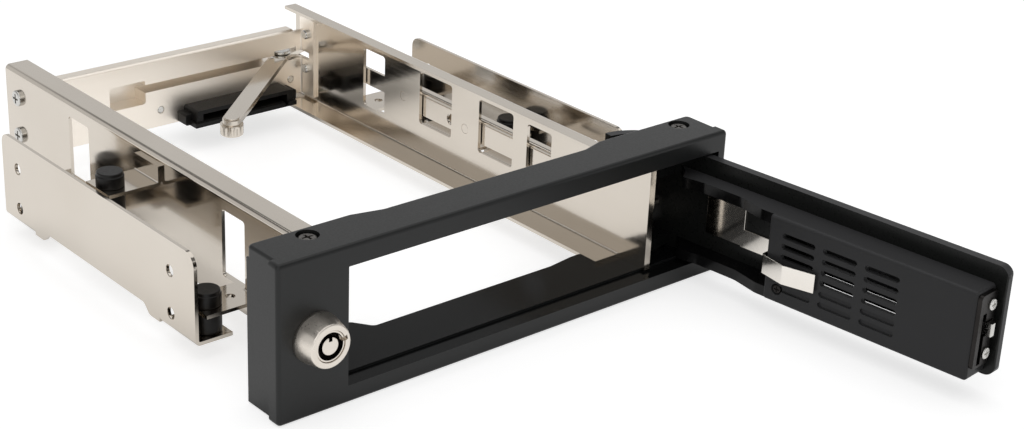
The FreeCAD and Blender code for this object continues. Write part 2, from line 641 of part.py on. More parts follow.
def make_panel():
    y1 = PANEL_Y + SHEET
    flange = PANEL_Y - PANEL_FLANGE
    plan = [(CAGE_LEFT, flange), (CAGE_LEFT, y1), (CAGE_RIGHT, y1), (CAGE_RIGHT, flange)]
    tray = prism(folded(plan, -SHEET), PANEL_LOW, CAGE_TOP - PANEL_FLANGE_DROP)
    tray = tray.cut(block(CAGE_LEFT + SHEET, CAGE_RIGHT - SHEET, flange - 1, y1 + 1,
                          PANEL_TOP - 0.5, CAGE_TOP))
    edge = [(PANEL_Y, PANEL_TOP - 6), (PANEL_Y, PANEL_TOP), (PANEL_Y + PANEL_LIP, PANEL_TOP)]
    lip = prism(folded(edge, -SHEET), CAGE_LEFT + 4, CAGE_RIGHT - 4, "YZ")
    shelf_top = LEVER_LOW - 0.4
    bend = [(PANEL_Y, shelf_top - 5), (PANEL_Y, shelf_top), (PANEL_Y + 6.5, shelf_top)]
    shelf = prism(folded(bend, -SHEET), PIVOT_X - 6.5, PIVOT_X + 6.4, "YZ")
    low = LEVER_LOW - 0.5
    high = LEVER_HIGH + 0.5
    tip = PIVOT_X - LEVER_LENGTH - 4.6
    slot = prism([(tip + 2, low, 1), (CAGE_RIGHT + 1, low), (CAGE_RIGHT + 1, high), (tip + 2, high, 1)],
                 PIVOT_Y - LEVER_REACH, y1 + 1, "XZ")
    floor = STUD_LOW - 0.6
    side = tip + POCKET_W
    pocket = prism([(tip, floor, 1), (side, floor, 1), (side, high + 1.6, 1), (tip, high + 1.6, 1)],
                   PANEL_Y - 1, y1 + 1, "XZ")
    head = block(PIVOT_X - 4.2, PIVOT_X + 4.2, PANEL_Y - 1, y1 + 1, high - 0.5, high + 1.6)
    tray = tray.cut([slot, pocket, head])
    w = POCKET_WALL
    back = PANEL_Y + POCKET_DEEP
    stop = PIVOT_X - 4.6
    outer = join([block(tip + 2 - w, stop, PANEL_Y, back + w, low - w, high + w),
                  block(tip - w, side + w, PANEL_Y, back + w, floor - w, high + 1.6 + w)])
    channel = outer.cut([block(tip + 2, stop + 1, PANEL_Y - 1, back, low, high),
                         block(tip, side, PANEL_Y - 1, back, floor, high + 1.6)])
    body = join([tray, lip, shelf, channel])
    cuts = [block(RECEPT_X[0] + 1, RECEPT_X[1] - 1, PANEL_Y - 1, y1 + 1,
                  RECEPT_Z[0] + 1.2, RECEPT_Z[1] - 1.2),
            rod(PIVOT_R, (PIVOT_X, PIVOT_Y, shelf_top - 3), Z, 5)]
    for z in PANEL_SCREW_Z:
        cuts.append(rod(SCREW_R, (CAGE_LEFT - 1, PANEL_SCREW_Y, z), X, 4))
        cuts.append(rod(SCREW_R, (CAGE_RIGHT + 1, PANEL_SCREW_Y, z), X * -1, 4))
    for x, z in board_screw_spots():
        cuts.append(rod(1.25, (x, PANEL_Y - 1, z), Y, 4))
    return body.cut(cuts)


def make_panel_screws():
    out = []
    for z in PANEL_SCREW_Z:
        out.append(screw(2.4, 1.2, SCREW_R, 3.2, (LEFT_OUT, PANEL_SCREW_Y, z), X * -1))
        out.append(screw(2.4, 1.2, SCREW_R, 3.2, (RIGHT_OUT, PANEL_SCREW_Y, z), X))
    return out


def make_bracket(side):
    def across(s):
        return side * (BRACKET_X - s)

    def sheet(path, t, y0, y1):
        pts = [(across(p[0]),) + tuple(p[1:]) for p in folded(path, t)]
        return prism(pts, y0, y1, "XZ")
    low = BRACKET_LOW
    x0 = min(across(0), across(SHEET))
    foot = BRACKET_FRONT + BRACKET_FOOT
    heel = BRACKET_REAR - BRACKET_FOOT
    rise = BRACKET_RELIEF
    plate = prism([(BRACKET_FRONT, low), (foot + 6, low, 2), (foot + 6 + rise, low + rise, 2),
                   (heel - 6 - rise, low + rise, 2), (heel - 6, low, 2), (BRACKET_REAR, low),
                   (BRACKET_REAR, BRACKET_HIGH, 3), (BRACKET_FRONT, BRACKET_HIGH, 4)], x0, x0 + SHEET, "YZ")
    trims = [block(x0 - 1, x0 + SHEET + 1, y - 1, y + BRACKET_FOOT + 1, low - 1, low + BEND + SHEET)
             for y in (BRACKET_FRONT, heel)]
    plate = plate.cut(trims)
    bend = [(0, low + 5), (0, low), (BRACKET_REACH, low)]
    pieces = [plate, sheet(bend, SHEET, BRACKET_FRONT, foot + 1), sheet(bend, SHEET, heel - 1, BRACKET_REAR)]
    mid = DAMPER_MID_Y[side]
    top = SHELF_MID[side]
    leg = max(top - 9, low + rise)
    pieces.append(sheet([(SHEET, leg), (SHEET, top), (BRACKET_REACH, top)], -SHEET, mid - 6, mid + 6))
    body = join(pieces)
    cuts = [rod(HOLE_R, (x0 - 1, y, z), X, SHEET + 2) for y, z in HOLES]
    for y, tab, shelf in damper_spots(side):
        cuts.append(rod(SCREW_R + PART_FIT, (side * DAMPER_X, y, shelf - SHEET - 1), Z, SHEET + 2))
    return body.cut(cuts)


def make_dampers():
    out = []
    for side in (-1, 1):
        for y, tab, shelf in damper_spots(side):
            foot = tab - shelf
            neck = DAMPER_NECK - PART_FIT
            lift = foot + SHEET
            top = lift + DAMPER_HEAD
            bore = SCREW_R + PART_FIT
            form = turned([(bore, 0), (DAMPER_R - 0.4, 0), (DAMPER_R, 0.6), (DAMPER_R, foot, 0.3),
                           (neck, foot), (neck, lift), (DAMPER_R, lift, 0.3), (DAMPER_R, top - 1.0),
                           (DAMPER_R - 0.3, top - 0.9), (DAMPER_R - 0.3, top, 0.3), (0, top),
                           (0, top - DAMPER_ROOF), (bore, top - DAMPER_ROOF)])
            out.append(aim(form, (side * DAMPER_X, y, shelf), Z))
    return out


def make_damper_screws():
    out = []
    for side in (-1, 1):
        for y, tab, shelf in damper_spots(side):
            long = tab - shelf + 2 * SHEET + DAMPER_HEAD - DAMPER_ROOF - 0.3
            out.append(screw(2.8, 1.5, SCREW_R, long, (side * DAMPER_X, y, shelf - SHEET), Z * -1))
    return out


def make_lock_housing():
    bore = PLUG_R + RUN_FIT
    form = turned([(bore, -LOCK_BARREL_Y), (LOCK_BARREL_R, -LOCK_BARREL_Y), (LOCK_BARREL_R, 0),
                   (LOCK_BASE_R, 0), (LOCK_BASE_R, 0.8, 0.3), (LOCK_FACE_R, LOCK_OUT, 0.5), (bore, LOCK_OUT)])
    body = aim(form, (LOCK_X, 0, LOCK_Z), Y * -1)
    notch = block(-0.6, 0.6, -LOCK_OUT - 1, -LOCK_OUT + 1.4, bore - 1, bore + 0.7)
    notch.rotate(V(0, 0, 0), Y, NOTCH_TURN)
    notch.translate(V(LOCK_X, 0, LOCK_Z))
    return body.cut(notch)


def make_lock_nut():
    reach = NUT_FLATS / math.sqrt(3)
    turns = [k * math.pi / 3 for k in range(6)]
    pts = [(LOCK_X + reach * math.sin(a), LOCK_Z + reach * math.cos(a)) for a in turns]
    nut = prism(pts, PLATE_T, PLATE_T + NUT_T, "XZ")
    return nut.cut(rod(LOCK_BARREL_R, (LOCK_X, 0, LOCK_Z), Y, 12))


def make_lock_plug():
    face = LOCK_OUT - PLUG_SINK
    floor = face - KEYWAY_DEEP
    form = turned([(0, -CAM_Y), (PLUG_R, -CAM_Y), (PLUG_R, face, 0.2), (KEYWAY_R, face), (KEYWAY_R, floor),
                   (POST_R, floor), (POST_R, face, 0.3), (0, face)])
    form = form.cut(rod(SCREW_R, (0, 0, -CAM_Y - 1), Z, 5.0))
    body = aim(form, (LOCK_X, 0, LOCK_Z), Y * -1)
    top = LOCK_Z + POST_R
    keyway = block(LOCK_X - 0.5, LOCK_X + 0.5, -face - 1, -face + 3, top - 1.1, top + 0.5)
    notch = block(-0.6, 0.6, -face - 1, -face + 1.4, KEYWAY_R - 0.5, PLUG_R + 0.5)
    notch.rotate(V(0, 0, 0), Y, NOTCH_TURN)
    notch.translate(V(LOCK_X, 0, LOCK_Z))
    return body.cut([keyway, notch])


def make_lock_cam():
    end = LOCK_Z - CAM_REACH + CAM_HALF
    low = end - CAM_HALF
    r = CAM_HALF * 0.8
    left = LOCK_X - CAM_HALF
    right = LOCK_X + CAM_HALF
    arm = prism([(left, low, r), (right, low, r), (right, LOCK_Z), (left, LOCK_Z)],
                CAM_Y, CAM_Y + CAM_T, "XZ")
    disc = rod(PLUG_R, (LOCK_X, CAM_Y, LOCK_Z), Y, CAM_T)
    return join([arm, disc]).cut(rod(SCREW_R, (LOCK_X, CAM_Y - 1, LOCK_Z), Y, 4))


def make_cam_screw():
    return screw(2.8, 1.6, SCREW_R, CAM_T + 3.6, (LOCK_X, CAM_Y + CAM_T, LOCK_Z), Y)


def vent(x, z, y0, y1, low_half):
    """Vent cutter through a door wall."""
    r = low_half
    return obround((x - VENT_LENGTH / 2 + r, z), (x + VENT_LENGTH / 2 - r, z), r, y0, y1, "XZ")


def make_shell():
    reach = HINGE_Y - SHELL_FRONT
    outer_x = HINGE_X + math.sqrt(TAIL_R ** 2 - reach ** 2)
    inner_r = TAIL_R - SHELL_T
    inner_x = HINGE_X + math.sqrt(inner_r ** 2 - (HINGE_Y - SHELL_BACK) ** 2)
    high = SHELL_HIGH - SHELL_LOW
    flat = prism([(SHELL_END, SHELL_FRONT, 0.6), (outer_x, SHELL_FRONT), (inner_x, SHELL_BACK),
                  (SHELL_END, SHELL_BACK, 0.4)], SHELL_LOW, SHELL_HIGH)
    start = -math.degrees(math.asin(reach / TAIL_R))
    base = V(HINGE_X, HINGE_Y, SHELL_LOW)
    ring = Part.makeCylinder(TAIL_R, high, base, Z, TAIL_END - start)
    ring = ring.cut(Part.makeCylinder(inner_r, high, base, Z))
    ring.rotate(base, Z, start)
    body = join([flat, ring])
    far = HINGE_X + TAIL_R + 1
    mask = prism([(SHELL_END, SHELL_LOW, SHELL_CORNER), (far, SHELL_LOW), (far, SHELL_HIGH),
                  (SHELL_END, SHELL_HIGH, SHELL_CORNER)],
                 -1, HINGE_Y + 1, "XZ")
    body = body.common(mask)
    cx, cz = COVER_SCREW
    root = SHELL_BACK - 0.5
    pieces = [body, rod(2.2, (cx, root, cz), Y, BOX_REAR - BOX_WALL - root)]
    web = [(HINGE_X - 3.4, root), (HINGE_X + 7.5, root), (HINGE_X + HUB_R, HINGE_Y),
           (HINGE_X - HUB_R, HINGE_Y)]
    for low in (BOX_LOW, BOX_HIGH - ARM_T):
        pieces.append(prism(web, low, low + ARM_T))
        pieces.append(rod(HUB_R, (HINGE_X, HINGE_Y, low), Z, ARM_T))
    crank = crank_closed()
    pieces.append(obround((HINGE_X, HINGE_Y), crank, 2.6, BOX_LOW, BOX_LOW + ARM_T))
    body = join(pieces)
    cuts = [rod(COVER_SCREW_R, (cx, SHELL_BACK, cz), Y, 10),
            rod(PIN_R + RUN_FIT, (HINGE_X, HINGE_Y, BOX_LOW - 1), Z, ARM_T + 2),
            rod(PIN_R + RUN_FIT, (HINGE_X, HINGE_Y, BOX_HIGH - ARM_T - 1), Z, ARM_T + 2),
            rod(LINK_R, (crank[0], crank[1], BOX_LOW + 0.6), Z, ARM_T + 2)]
    near = BOX_HINGE - GRILLE_IN
    far = VENT_COLUMNS[-1] - VENT_LENGTH / 2
    r = VENT_HEIGHT / 2
    low = VENT_TOP - (VENT_ROW_COUNT - 1) * VENT_PITCH - 2 * r
    cuts.append(block(far - 1, near + 1, SHELL_FRONT + GRILLE_T, SHELL_BACK + 1, low, VENT_TOP + 2 * r))
    for k in range(VENT_ROW_COUNT):
        z = VENT_TOP - k * VENT_PITCH
        cuts.append(obround((far + r, z), (near - r, z), r, -1, SHELL_BACK + 1, "XZ"))
    x0 = SHELL_END + 3
    x1 = SHELL_END + 13
    z0 = SHELL_LOW + 7
    z1 = SHELL_HIGH - 7
    grip = prism([(x0, z0, 3), (x1, z0, 3), (x1, z1, 3), (x0, z1, 3)], -1, SHELL_FRONT + 1.2, "XZ")
    cuts.append(grip)
    return body.cut(cuts)


def crank_closed():
    """Crank pin centre with the door closed."""
    return (HINGE_X + CRANK_R * math.cos(HALF_DOOR), HINGE_Y - CRANK_R * math.sin(HALF_DOOR))


def make_cover():
    box = block(BOX_END, BOX_HINGE, SHELL_BACK, BOX_REAR, BOX_LOW, BOX_HIGH)
    rim = [e for e in box.Edges if e.CenterOfMass.y > SHELL_BACK + 0.5]
    box = box.makeFillet(BOX_EDGE, rim)
    cavity = block(BOX_END + BOX_WALL, BOX_HINGE - BOX_WALL, SHELL_BACK - 1, BOX_REAR - BOX_WALL,
                   BOX_LOW + BOX_WALL, BOX_HIGH - BOX_WALL)
    box = box.cut(cavity)
    waist = BOX_REAR - 3.0
    plan = [(BOX_HINGE - 1.2, SHELL_BACK), (HINGE_X - 5, SHELL_BACK), (HINGE_X - 5, BOX_REAR - 1.5),
            (HINGE_X - 8.7, BOX_REAR - 1.5, 4), (HINGE_X - 18, waist, 8),
            (HINGE_X - 31, waist, 10), (BOX_HINGE + 3.2, BOX_REAR - 0.9, 6),
            (BOX_HINGE - 1.2, BOX_REAR - 0.9)]
    pieces = [box]
    sweep = rod(ARM_SWEEP, (HINGE_X, HINGE_Y, 0), Z, PLATE_H)
    pieces += [prism(plan, low, low + ARM_T).cut(sweep) for low in (BOX_LOW, BOX_HIGH - ARM_T)]
    seat_x = BOLT_TIP + BOLT_LENGTH + BOLT_IN + 0.5 + SPRING_LENGTH
    pieces.append(block(seat_x, seat_x + 1.4, BOLT_Y[0] - 1, BOX_REAR - 1, BOLT_Z[0] - 2, BOLT_Z[1] + 2))
    body = join(pieces)
    cx, cz = COVER_SCREW
    gap = MOVE_GAP
    x0 = BOX_END - 1
    x1 = BOX_END + BOX_WALL + 0.1
    cuts = [rod(COVER_SCREW_R + PART_FIT, (cx, SHELL_BACK, cz), Y, 10),
            rod(COVER_HEAD_R + 0.3, (cx, BOX_REAR - 0.9, cz), Y, 2),
            block(x0, x1, BOLT_Y[0] - gap, BOLT_Y[1] + gap, BOLT_Z[0] - gap, BOLT_Z[1] + gap),
            block(x0, x1, CAM_Y - gap, CAM_Y + CAM_T + gap, *CAM_SLOT_Z)]
    for z in LATCH_SCREW_Z:
        cuts.append(rod(1.0, (BOX_END - 1, LATCH_SCREW_Y, z), X, BOX_WALL + 2))
    for x in VENT_COLUMNS:
        for k in range(VENT_ROW_COUNT):
            deep = BOX_WALL + 1 if k < VENT_OPEN_COUNT else VENT_BLIND
            cuts.append(vent(x, VENT_TOP - k * VENT_PITCH, BOX_REAR - deep, BOX_REAR + 1, VENT_HEIGHT / 2))
    return body.cut(cuts)


def make_cover_screw():
    cx, cz = COVER_SCREW
    return screw(COVER_HEAD_R, 0.8, COVER_SCREW_R, 5.5, (cx, BOX_REAR - 0.9, cz), Y)


def make_leaf():
    foot = BOX_HINGE + MOVE_GAP
    path = [(ANCHOR_X[0] + 1, SHELL_BACK), (foot, SHELL_BACK), (foot, BOX_REAR + 0.5),
            (BOX_HINGE - 7.5, BOX_REAR + LEAF_BOW), (BOX_HINGE - LEAF_TIP_IN, BOX_REAR + 0.6)]
    strip = prism(folded(path, -LEAF_T), LEAF_LOW, LEAF_LOW + LEAF_W)
    anchor = block(ANCHOR_X[0], ANCHOR_X[1], SHELL_BACK, SHELL_BACK + LEAF_T, *ANCHOR_Z)
    back = block(foot, foot + LEAF_T, SHELL_BACK + 1.2, BOX_REAR - 1.8,
                 BOX_LOW + ARM_T + 0.8, BOX_HIGH - ARM_T - 0.8)
    return join([strip, anchor, back])


def make_latch_plate():
    y0, y1 = LATCH_Y
    z0, z1 = LATCH_Z
    gap = MOVE_GAP
    plate = prism([(y0, z0, 1), (y1, z0, 1), (y1, z1, 1), (y0, z1, 1)], BOX_END - LATCH_T, BOX_END, "YZ")
    x0 = BOX_END - 3
    x1 = BOX_END + 1
    cuts = [block(x0, x1, BOLT_Y[0] - gap, BOLT_Y[1] + gap, BOLT_Z[0] - gap, BOLT_Z[1] + gap),
            block(x0, x1, CAM_Y - gap, CAM_Y + CAM_T + gap, *CAM_SLOT_Z)]
    for z in LATCH_SCREW_Z:
        cuts.append(rod(1.0, (BOX_END - 3, LATCH_SCREW_Y, z), X, 5))
    return plate.cut(cuts)


def make_latch_screws():
    x = BOX_END - LATCH_T
    return [screw(1.6, 0.7, 1.0, LATCH_T + 2.2, (x, LATCH_SCREW_Y, z), X * -1) for z in LATCH_SCREW_Z]


def make_bolt():
    y0, y1 = BOLT_Y
    return prism([(BOLT_TIP, y0 + 1.2, 0.3), (BOLT_TIP + 1.2, y0, 0.3), (BOLT_TIP + BOLT_LENGTH, y0),
                  (BOLT_TIP + BOLT_LENGTH, y1), (BOLT_TIP, y1, 0.3)], *BOLT_Z)


def make_latch_spring():
    start = BOLT_TIP + BOLT_LENGTH + BOLT_IN + 0.5
    step = (SPRING_LENGTH - 0.3) / SPRING_FOLD_COUNT
    low = BOLT_Y[0] + 0.3
    high = BOLT_Y[1] - 0.3
    path = [(start + k * step, high if k % 2 else low) for k in range(SPRING_FOLD_COUNT + 1)]
    return prism(folded(path, SPRING_T, 0.2), BOLT_Z[0] + 0.4, BOLT_Z[1] - 0.4)


def make_hinge_pins():
    gap = MOVE_GAP
    upper = turned([(0, BOX_HIGH - ARM_T - 0.5), (PIN_R, BOX_HIGH - ARM_T - 0.5), (PIN_R, BOX_HIGH + gap),
                    (2.5, BOX_HIGH + gap), (2.5, EAR_LOW), (PIN_R, EAR_LOW), (PIN_R, CEILING), (0, CEILING)])
    lower = rod(PIN_R, (0, 0, FLOOR_LOW + 0.8), Z, BOX_LOW + ARM_T + 0.4 - FLOOR_LOW - 0.8)
    for pin in (upper, lower):
        pin.translate(V(HINGE_X, HINGE_Y, 0))
    return [upper, lower]


def make_crank_pin():
    x, y = crank_closed()
    low = BOX_LOW + 0.6
    return rod(LINK_R, (x, y, low), Z, BAR_LOW + SHEET + 1.0 - low)


def make_bar():
    bx = BAR_X
    t = -SHEET
    tab_x = HINGE_X + CRANK_R + LINK_R + SLOT_FIT + 1.4
    pin_y = HINGE_Y + CRANK_R * math.sin(HALF_DOOR)
    tail_y = PIVOT_Y + TRAVEL / 2
    wall = [(bx, BAR_LOW), (bx, BAR_HIGH), (bx + BAR_LIP, BAR_HIGH)]
    front = prism(folded([(tab_x, BAR_LOW)] + wall, t), BAR_FRONT, pin_y + 3.4, "XZ")
    middle = prism(folded(wall, t), BAR_FRONT, BAR_STEP, "XZ")
    thin = block(bx, bx + SHEET, BAR_STEP - 2, PANEL_Y - 14, *BAR_THIN)
    raised = block(bx, bx + SHEET, PANEL_Y - 17, tail_y + 3, BAR_RAISE, BAR_THIN[1])
    step = [(LINK_X + 3, BAR_RAISE), (bx, BAR_RAISE), (bx, BAR_THIN[1])]
    foot = prism(folded(step, t), tail_y - 4, tail_y + 3, "XZ")
    body = join([front, middle, thin, raised, foot])
    r = LINK_R + SLOT_FIT
    near = HINGE_X + CRANK_R * math.cos(HALF_DOOR)
    cuts = [obround((near, pin_y), (HINGE_X + CRANK_R, pin_y), r, BAR_LOW - 1, BAR_LOW + SHEET + 1),
            rod(LINK_R, (LINK_X, tail_y, BAR_RAISE - 1), Z, SHEET + 2)]
    for y, z in GUIDES:
        cuts.append(obround((y, z), (y + TRAVEL, z), GUIDE_R + SLOT_FIT, bx - 1, bx + SHEET + 1, "YZ"))
    return body.cut(cuts)


def make_guides():
    gap = MOVE_GAP
    reach = SHEET + BAR_GAP + SHEET + gap
    top = reach + 0.8
    form = turned([(0, 0), (GUIDE_R, 0), (GUIDE_R, reach), (2.8, reach), (2.8, top, 0.3), (0, top)])
    return [aim(form, (CAGE_RIGHT, y, z), X) for y, z in GUIDES]


def make_link_pin():
    tail_y = PIVOT_Y + TRAVEL / 2
    low = LEVER_LOW - MOVE_GAP
    return rod(LINK_R, (LINK_X, tail_y, low), Z, BAR_RAISE + SHEET - low)


def make_lever():
    long_arm = math.radians(180 + LEVER_SWING)
    short_arm = math.radians(LEVER_SWING / 2)
    tip = (PIVOT_X + LEVER_LENGTH * math.cos(long_arm), PIVOT_Y + LEVER_LENGTH * math.sin(long_arm))

    def along(r):
        return (PIVOT_X + r * math.cos(short_arm), PIVOT_Y + r * math.sin(short_arm))
    near = LINK_ARM - SLOT_FIT
    far = LINK_ARM / math.cos(HALF_LEVER) + SLOT_FIT
    pieces = [obround((PIVOT_X, PIVOT_Y), tip, LEVER_HALF, LEVER_LOW, LEVER_HIGH),
              rod(LEVER_HALF + 0.6, (PIVOT_X, PIVOT_Y, LEVER_LOW), Z, LEVER_T),
              obround((PIVOT_X, PIVOT_Y), along(far), LINK_R + SLOT_FIT + 1.4, LEVER_LOW, LEVER_HIGH)]
    body = join(pieces)
    cuts = [rod(PIVOT_R + RUN_FIT, (PIVOT_X, PIVOT_Y, LEVER_LOW - 1), Z, LEVER_T + 2),
            rod(SCREW_R, (tip[0], tip[1], LEVER_LOW - 1), Z, LEVER_T + 2),
            obround(along(near), along(far), LINK_R + SLOT_FIT, LEVER_LOW - 1, LEVER_HIGH + 1)]
    return body.cut(cuts)


def make_pivot():
    low = LEVER_LOW - 0.4 - SHEET
    head = LEVER_HIGH + MOVE_GAP
    top = head + 0.8
    form = turned([(0, low), (PIVOT_R, low), (PIVOT_R, head), (3.0, head), (3.0, top, 0.3), (0, top)])
    form.translate(V(PIVOT_X, PIVOT_Y, 0))
    return form


def make_stud():
    long_arm = math.radians(180 + LEVER_SWING)
    form = turned([(0, STUD_LOW), (STUD_R, STUD_LOW, 0.6), (STUD_R, LEVER_LOW), (SCREW_R, LEVER_LOW),
                   (SCREW_R, LEVER_HIGH), (2.3, LEVER_HIGH), (2.3, LEVER_HIGH + 0.5, 0.2),
                   (0, LEVER_HIGH + 0.5)])
    turns = [2 * math.pi * k / FLUTE_COUNT for k in range(FLUTE_COUNT)]
    ring = STUD_R + 0.2
    form = form.cut([rod(FLUTE_R, (ring * math.cos(a), ring * math.sin(a), STUD_LOW - 1), Z, STUD_H + 0.4)
                     for a in turns])
    tip = (PIVOT_X + LEVER_LENGTH * math.cos(long_arm), PIVOT_Y + LEVER_LENGTH * math.sin(long_arm))
    form.translate(V(*tip, 0))
    return form


def board_screw_spots():
    """X and Z of the backplane screws."""
    z = (BOARD_Z[0] + BOARD_Z[1]) / 2
    return ((BOARD_X[0] + 2.8, z), (BOARD_X[1] - 2.8, z))


def make_board():
    y0 = PANEL_Y + SHEET
    board = block(*BOARD_X, y0, y0 + BOARD_T, *BOARD_Z)
    return board.cut([rod(1.35, (x, y0 - 1, z), Y, 5) for x, z in board_screw_spots()])


def make_board_screws():
    y = PANEL_Y + SHEET + BOARD_T
    return [screw(2.3, 1.3, 1.25, SHEET + BOARD_T, (x, y, z), Y) for x, z in board_screw_spots()]


def contact_runs():
    """First contact's X and count of each row."""
    data = RECEPT_X[0] + 3.2
    power = data + (DATA_COUNT - 1) * PIN_PITCH + 4.2
    return ((data, DATA_COUNT), (power, POWER_COUNT))


def make_receptacle():
    x0, x1 = RECEPT_X
    z0, z1 = RECEPT_Z
    y0 = RECEPT_FACE
    nose = prism([(x0, z0, 0.8), (x1, z0, 0.8), (x1, z1, 0.8), (x0, z1, 0.8)], y0, PANEL_Y, "XZ")
    e0 = x0 - RECEPT_EAR
    e1 = x1 + RECEPT_EAR + 1
    ears = prism([(e0, z0, 0.6), (e1, z0, 0.6), (e1, z1 - 1.6, 0.6), (e0, z1 - 1.6, 0.6)],
                 y0 + 3.0, PANEL_Y, "XZ")
    lip = block(x0 - RECEPT_LIP_SIDE, x1 + RECEPT_LIP_SIDE, y0 - RECEPT_LIP, y0 + 3.2, z0, z0 + 1.5)
    tail = block(x0 + 1.2, x1 - 1.2, PANEL_Y - 0.5, PANEL_Y + SHEET, z0 + 1.4, z1 - 1.4)
    body = join([nose, ears, lip, tail])
    cuts = []
    mid = (z0 + z1) / 2
    for first, count in contact_runs():
        a = first - 1.0
        b = first + (count - 1) * PIN_PITCH + 1.0
        cuts.append(block(a, b, y0 - 1, y0 + 5.2, mid - 0.9, mid + 1.3))
        cuts.append(block(b - 1.2, b, y0 - 1, y0 + 5.2, mid - 2.2, mid))
        for k in range(count):
            cx = first + k * PIN_PITCH
            cuts.append(block(cx - 0.4, cx + 0.4, y0 + 0.8, y0 + 5.2, mid + 1.2, mid + 1.9))
    return body.cut(cuts)


def make_contacts():
    mid = (RECEPT_Z[0] + RECEPT_Z[1]) / 2
    y0 = RECEPT_FACE
    out = []
    for first, count in contact_runs():
        for k in range(count):
            cx = first + k * PIN_PITCH
            path = [(y0 + 0.9, mid + 1.5), (y0 + 2.0, mid + 0.9), (y0 + 5.2, mid + 1.6)]
            out.append(prism(folded(path, 0.2, 0.2), cx - 0.3, cx + 0.3, "YZ"))
    return out


def header(x0, width, height, depth, pins):
    """Rear socket shell with its pins."""
    x1 = x0 + width
    z0 = BOARD_Z[0] + 0.5
    z1 = z0 + height
    y0 = PANEL_Y + SHEET + BOARD_T
    shell = prism([(x0, z0, 0.5), (x1, z0, 0.5), (x1, z1, 0.5), (x0, z1, 0.5)], y0, y0 + depth, "XZ")
    shell = shell.cut(block(x0 + 1, x1 - 1, y0 + 1.4, y0 + depth + 1, z0 + 1, z1 - 1))
    step = (x1 - x0 - 3) / pins
    mid = (z0 + z1) / 2
    blades = [block(x0 + 1.5 + (k + 0.3) * step, x0 + 1.5 + (k + 0.7) * step, y0 + 1.0, y0 + depth - 1.4,
                    mid - 0.4, mid + 0.4) for k in range(pins)]
    return join([shell] + blades)


def opened(shape):
    """Swing a door piece from closed to the open rest pose."""
    moved = shape.copy()
    moved.rotate(V(HINGE_X, HINGE_Y, 0), Z, DOOR_SWING)
    return moved


NODES = {
    "bezel": make_bezel(),
    "bezel_screws": make_bezel_screws(),
    "left_rail": make_rail(-1),
    "right_rail": make_rail(1),
    "rear_panel": make_panel(),
    "panel_screws": make_panel_screws(),
    "left_bracket": make_bracket(-1),
    "right_bracket": make_bracket(1),
    "dampers": make_dampers(),
    "damper_screws": make_damper_screws(),
    "lock_housing": make_lock_housing(),
    "lock_nut": make_lock_nut(),
    "lock_plug": make_lock_plug(),
    "lock_cam": make_lock_cam(),
    "cam_screw": make_cam_screw(),
    "hinge_pins": make_hinge_pins(),
    "slide_bar": make_bar(),
    "slide_rivets": make_guides(),
    "slide_pin": make_link_pin(),
    "ejector_lever": make_lever(),
    "lever_pivot": make_pivot(),
    "pusher_stud": make_stud(),
    "backplane_board": make_board(),
    "board_screws": make_board_screws(),
    "sata_receptacle": make_receptacle(),
    "receptacle_contacts": make_contacts(),
    "data_header": header(RECEPT_X[0], DATA_HEAD_W, DATA_HEAD_H, DATA_HEAD_DEEP, DATA_COUNT),
    "power_header": header(RECEPT_X[0] + DATA_HEAD_W + HEAD_GAP, POWER_HEAD_W, POWER_HEAD_H,
                           POWER_HEAD_DEEP, 4),
}
DOOR_NODES = {
    "door_shell": make_shell(),
    "door_cover": make_cover(),
    "cover_screw": make_cover_screw(),
    "leaf_spring": make_leaf(),
    "latch_plate": make_latch_plate(),
    "latch_screws": make_latch_screws(),
    "latch_bolt": make_bolt(),
    "latch_spring": make_latch_spring(),
    "crank_pin": make_crank_pin(),
}

os.makedirs("parts", exist_ok=True)
for name, made in list(NODES.items()) + list(DOOR_NODES.items()):
    solids = []
    for shape in made if isinstance(made, list) else [made]:
        solids += opened(shape).Solids if name in DOOR_NODES else shape.Solids
    whole = Part.makeCompound(solids) if len(solids) > 1 else solids[0]
    whole = whole.copy()
    whole.translate(V(0, -PLATE_T / 2, 0))
    whole.exportStep("parts/%s.step" % name)
    print(name, len(solids), round(whole.Volume, 1), all(s.isValid() for s in solids))
print("travel", round(TRAVEL, 3), "crank", round(CRANK_R, 3))
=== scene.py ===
import logging
import math
from dataclasses import dataclass
from enum import Enum
from typing import Any, Callable

import bmesh
import bpy
from mathutils import Matrix, Vector


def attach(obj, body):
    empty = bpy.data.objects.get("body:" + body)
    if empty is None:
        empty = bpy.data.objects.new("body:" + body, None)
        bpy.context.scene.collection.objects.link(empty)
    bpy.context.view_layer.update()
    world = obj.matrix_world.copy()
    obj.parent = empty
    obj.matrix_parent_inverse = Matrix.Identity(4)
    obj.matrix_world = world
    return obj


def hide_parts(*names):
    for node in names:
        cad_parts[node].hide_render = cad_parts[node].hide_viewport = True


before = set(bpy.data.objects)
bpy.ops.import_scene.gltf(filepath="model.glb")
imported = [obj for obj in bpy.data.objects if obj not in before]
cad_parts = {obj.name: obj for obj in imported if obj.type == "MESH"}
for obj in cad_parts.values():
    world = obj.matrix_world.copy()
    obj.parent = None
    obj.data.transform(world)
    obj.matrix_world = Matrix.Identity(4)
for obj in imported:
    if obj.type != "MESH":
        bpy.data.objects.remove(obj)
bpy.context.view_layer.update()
LOG = logging.getLogger("drive_bay")

MM = 0.001
IMAGE_WIDTH = 1024
# Most of a noise texture lies between these levels, so roughness is spread over them.
NOISE_LOW = 0.3
NOISE_HIGH = 0.7
# Points this close are one point, and faces this flat to each other are one face.
MERGE_MM = 0.002
FLAT_DEG = 0.4
# Edges that turn by more than this are rounded.
SHARP_DEG = 38.0
# Weight of a face's area in the normals round it, so that flat sheet mirrors flat.
AREA_WEIGHT = 100


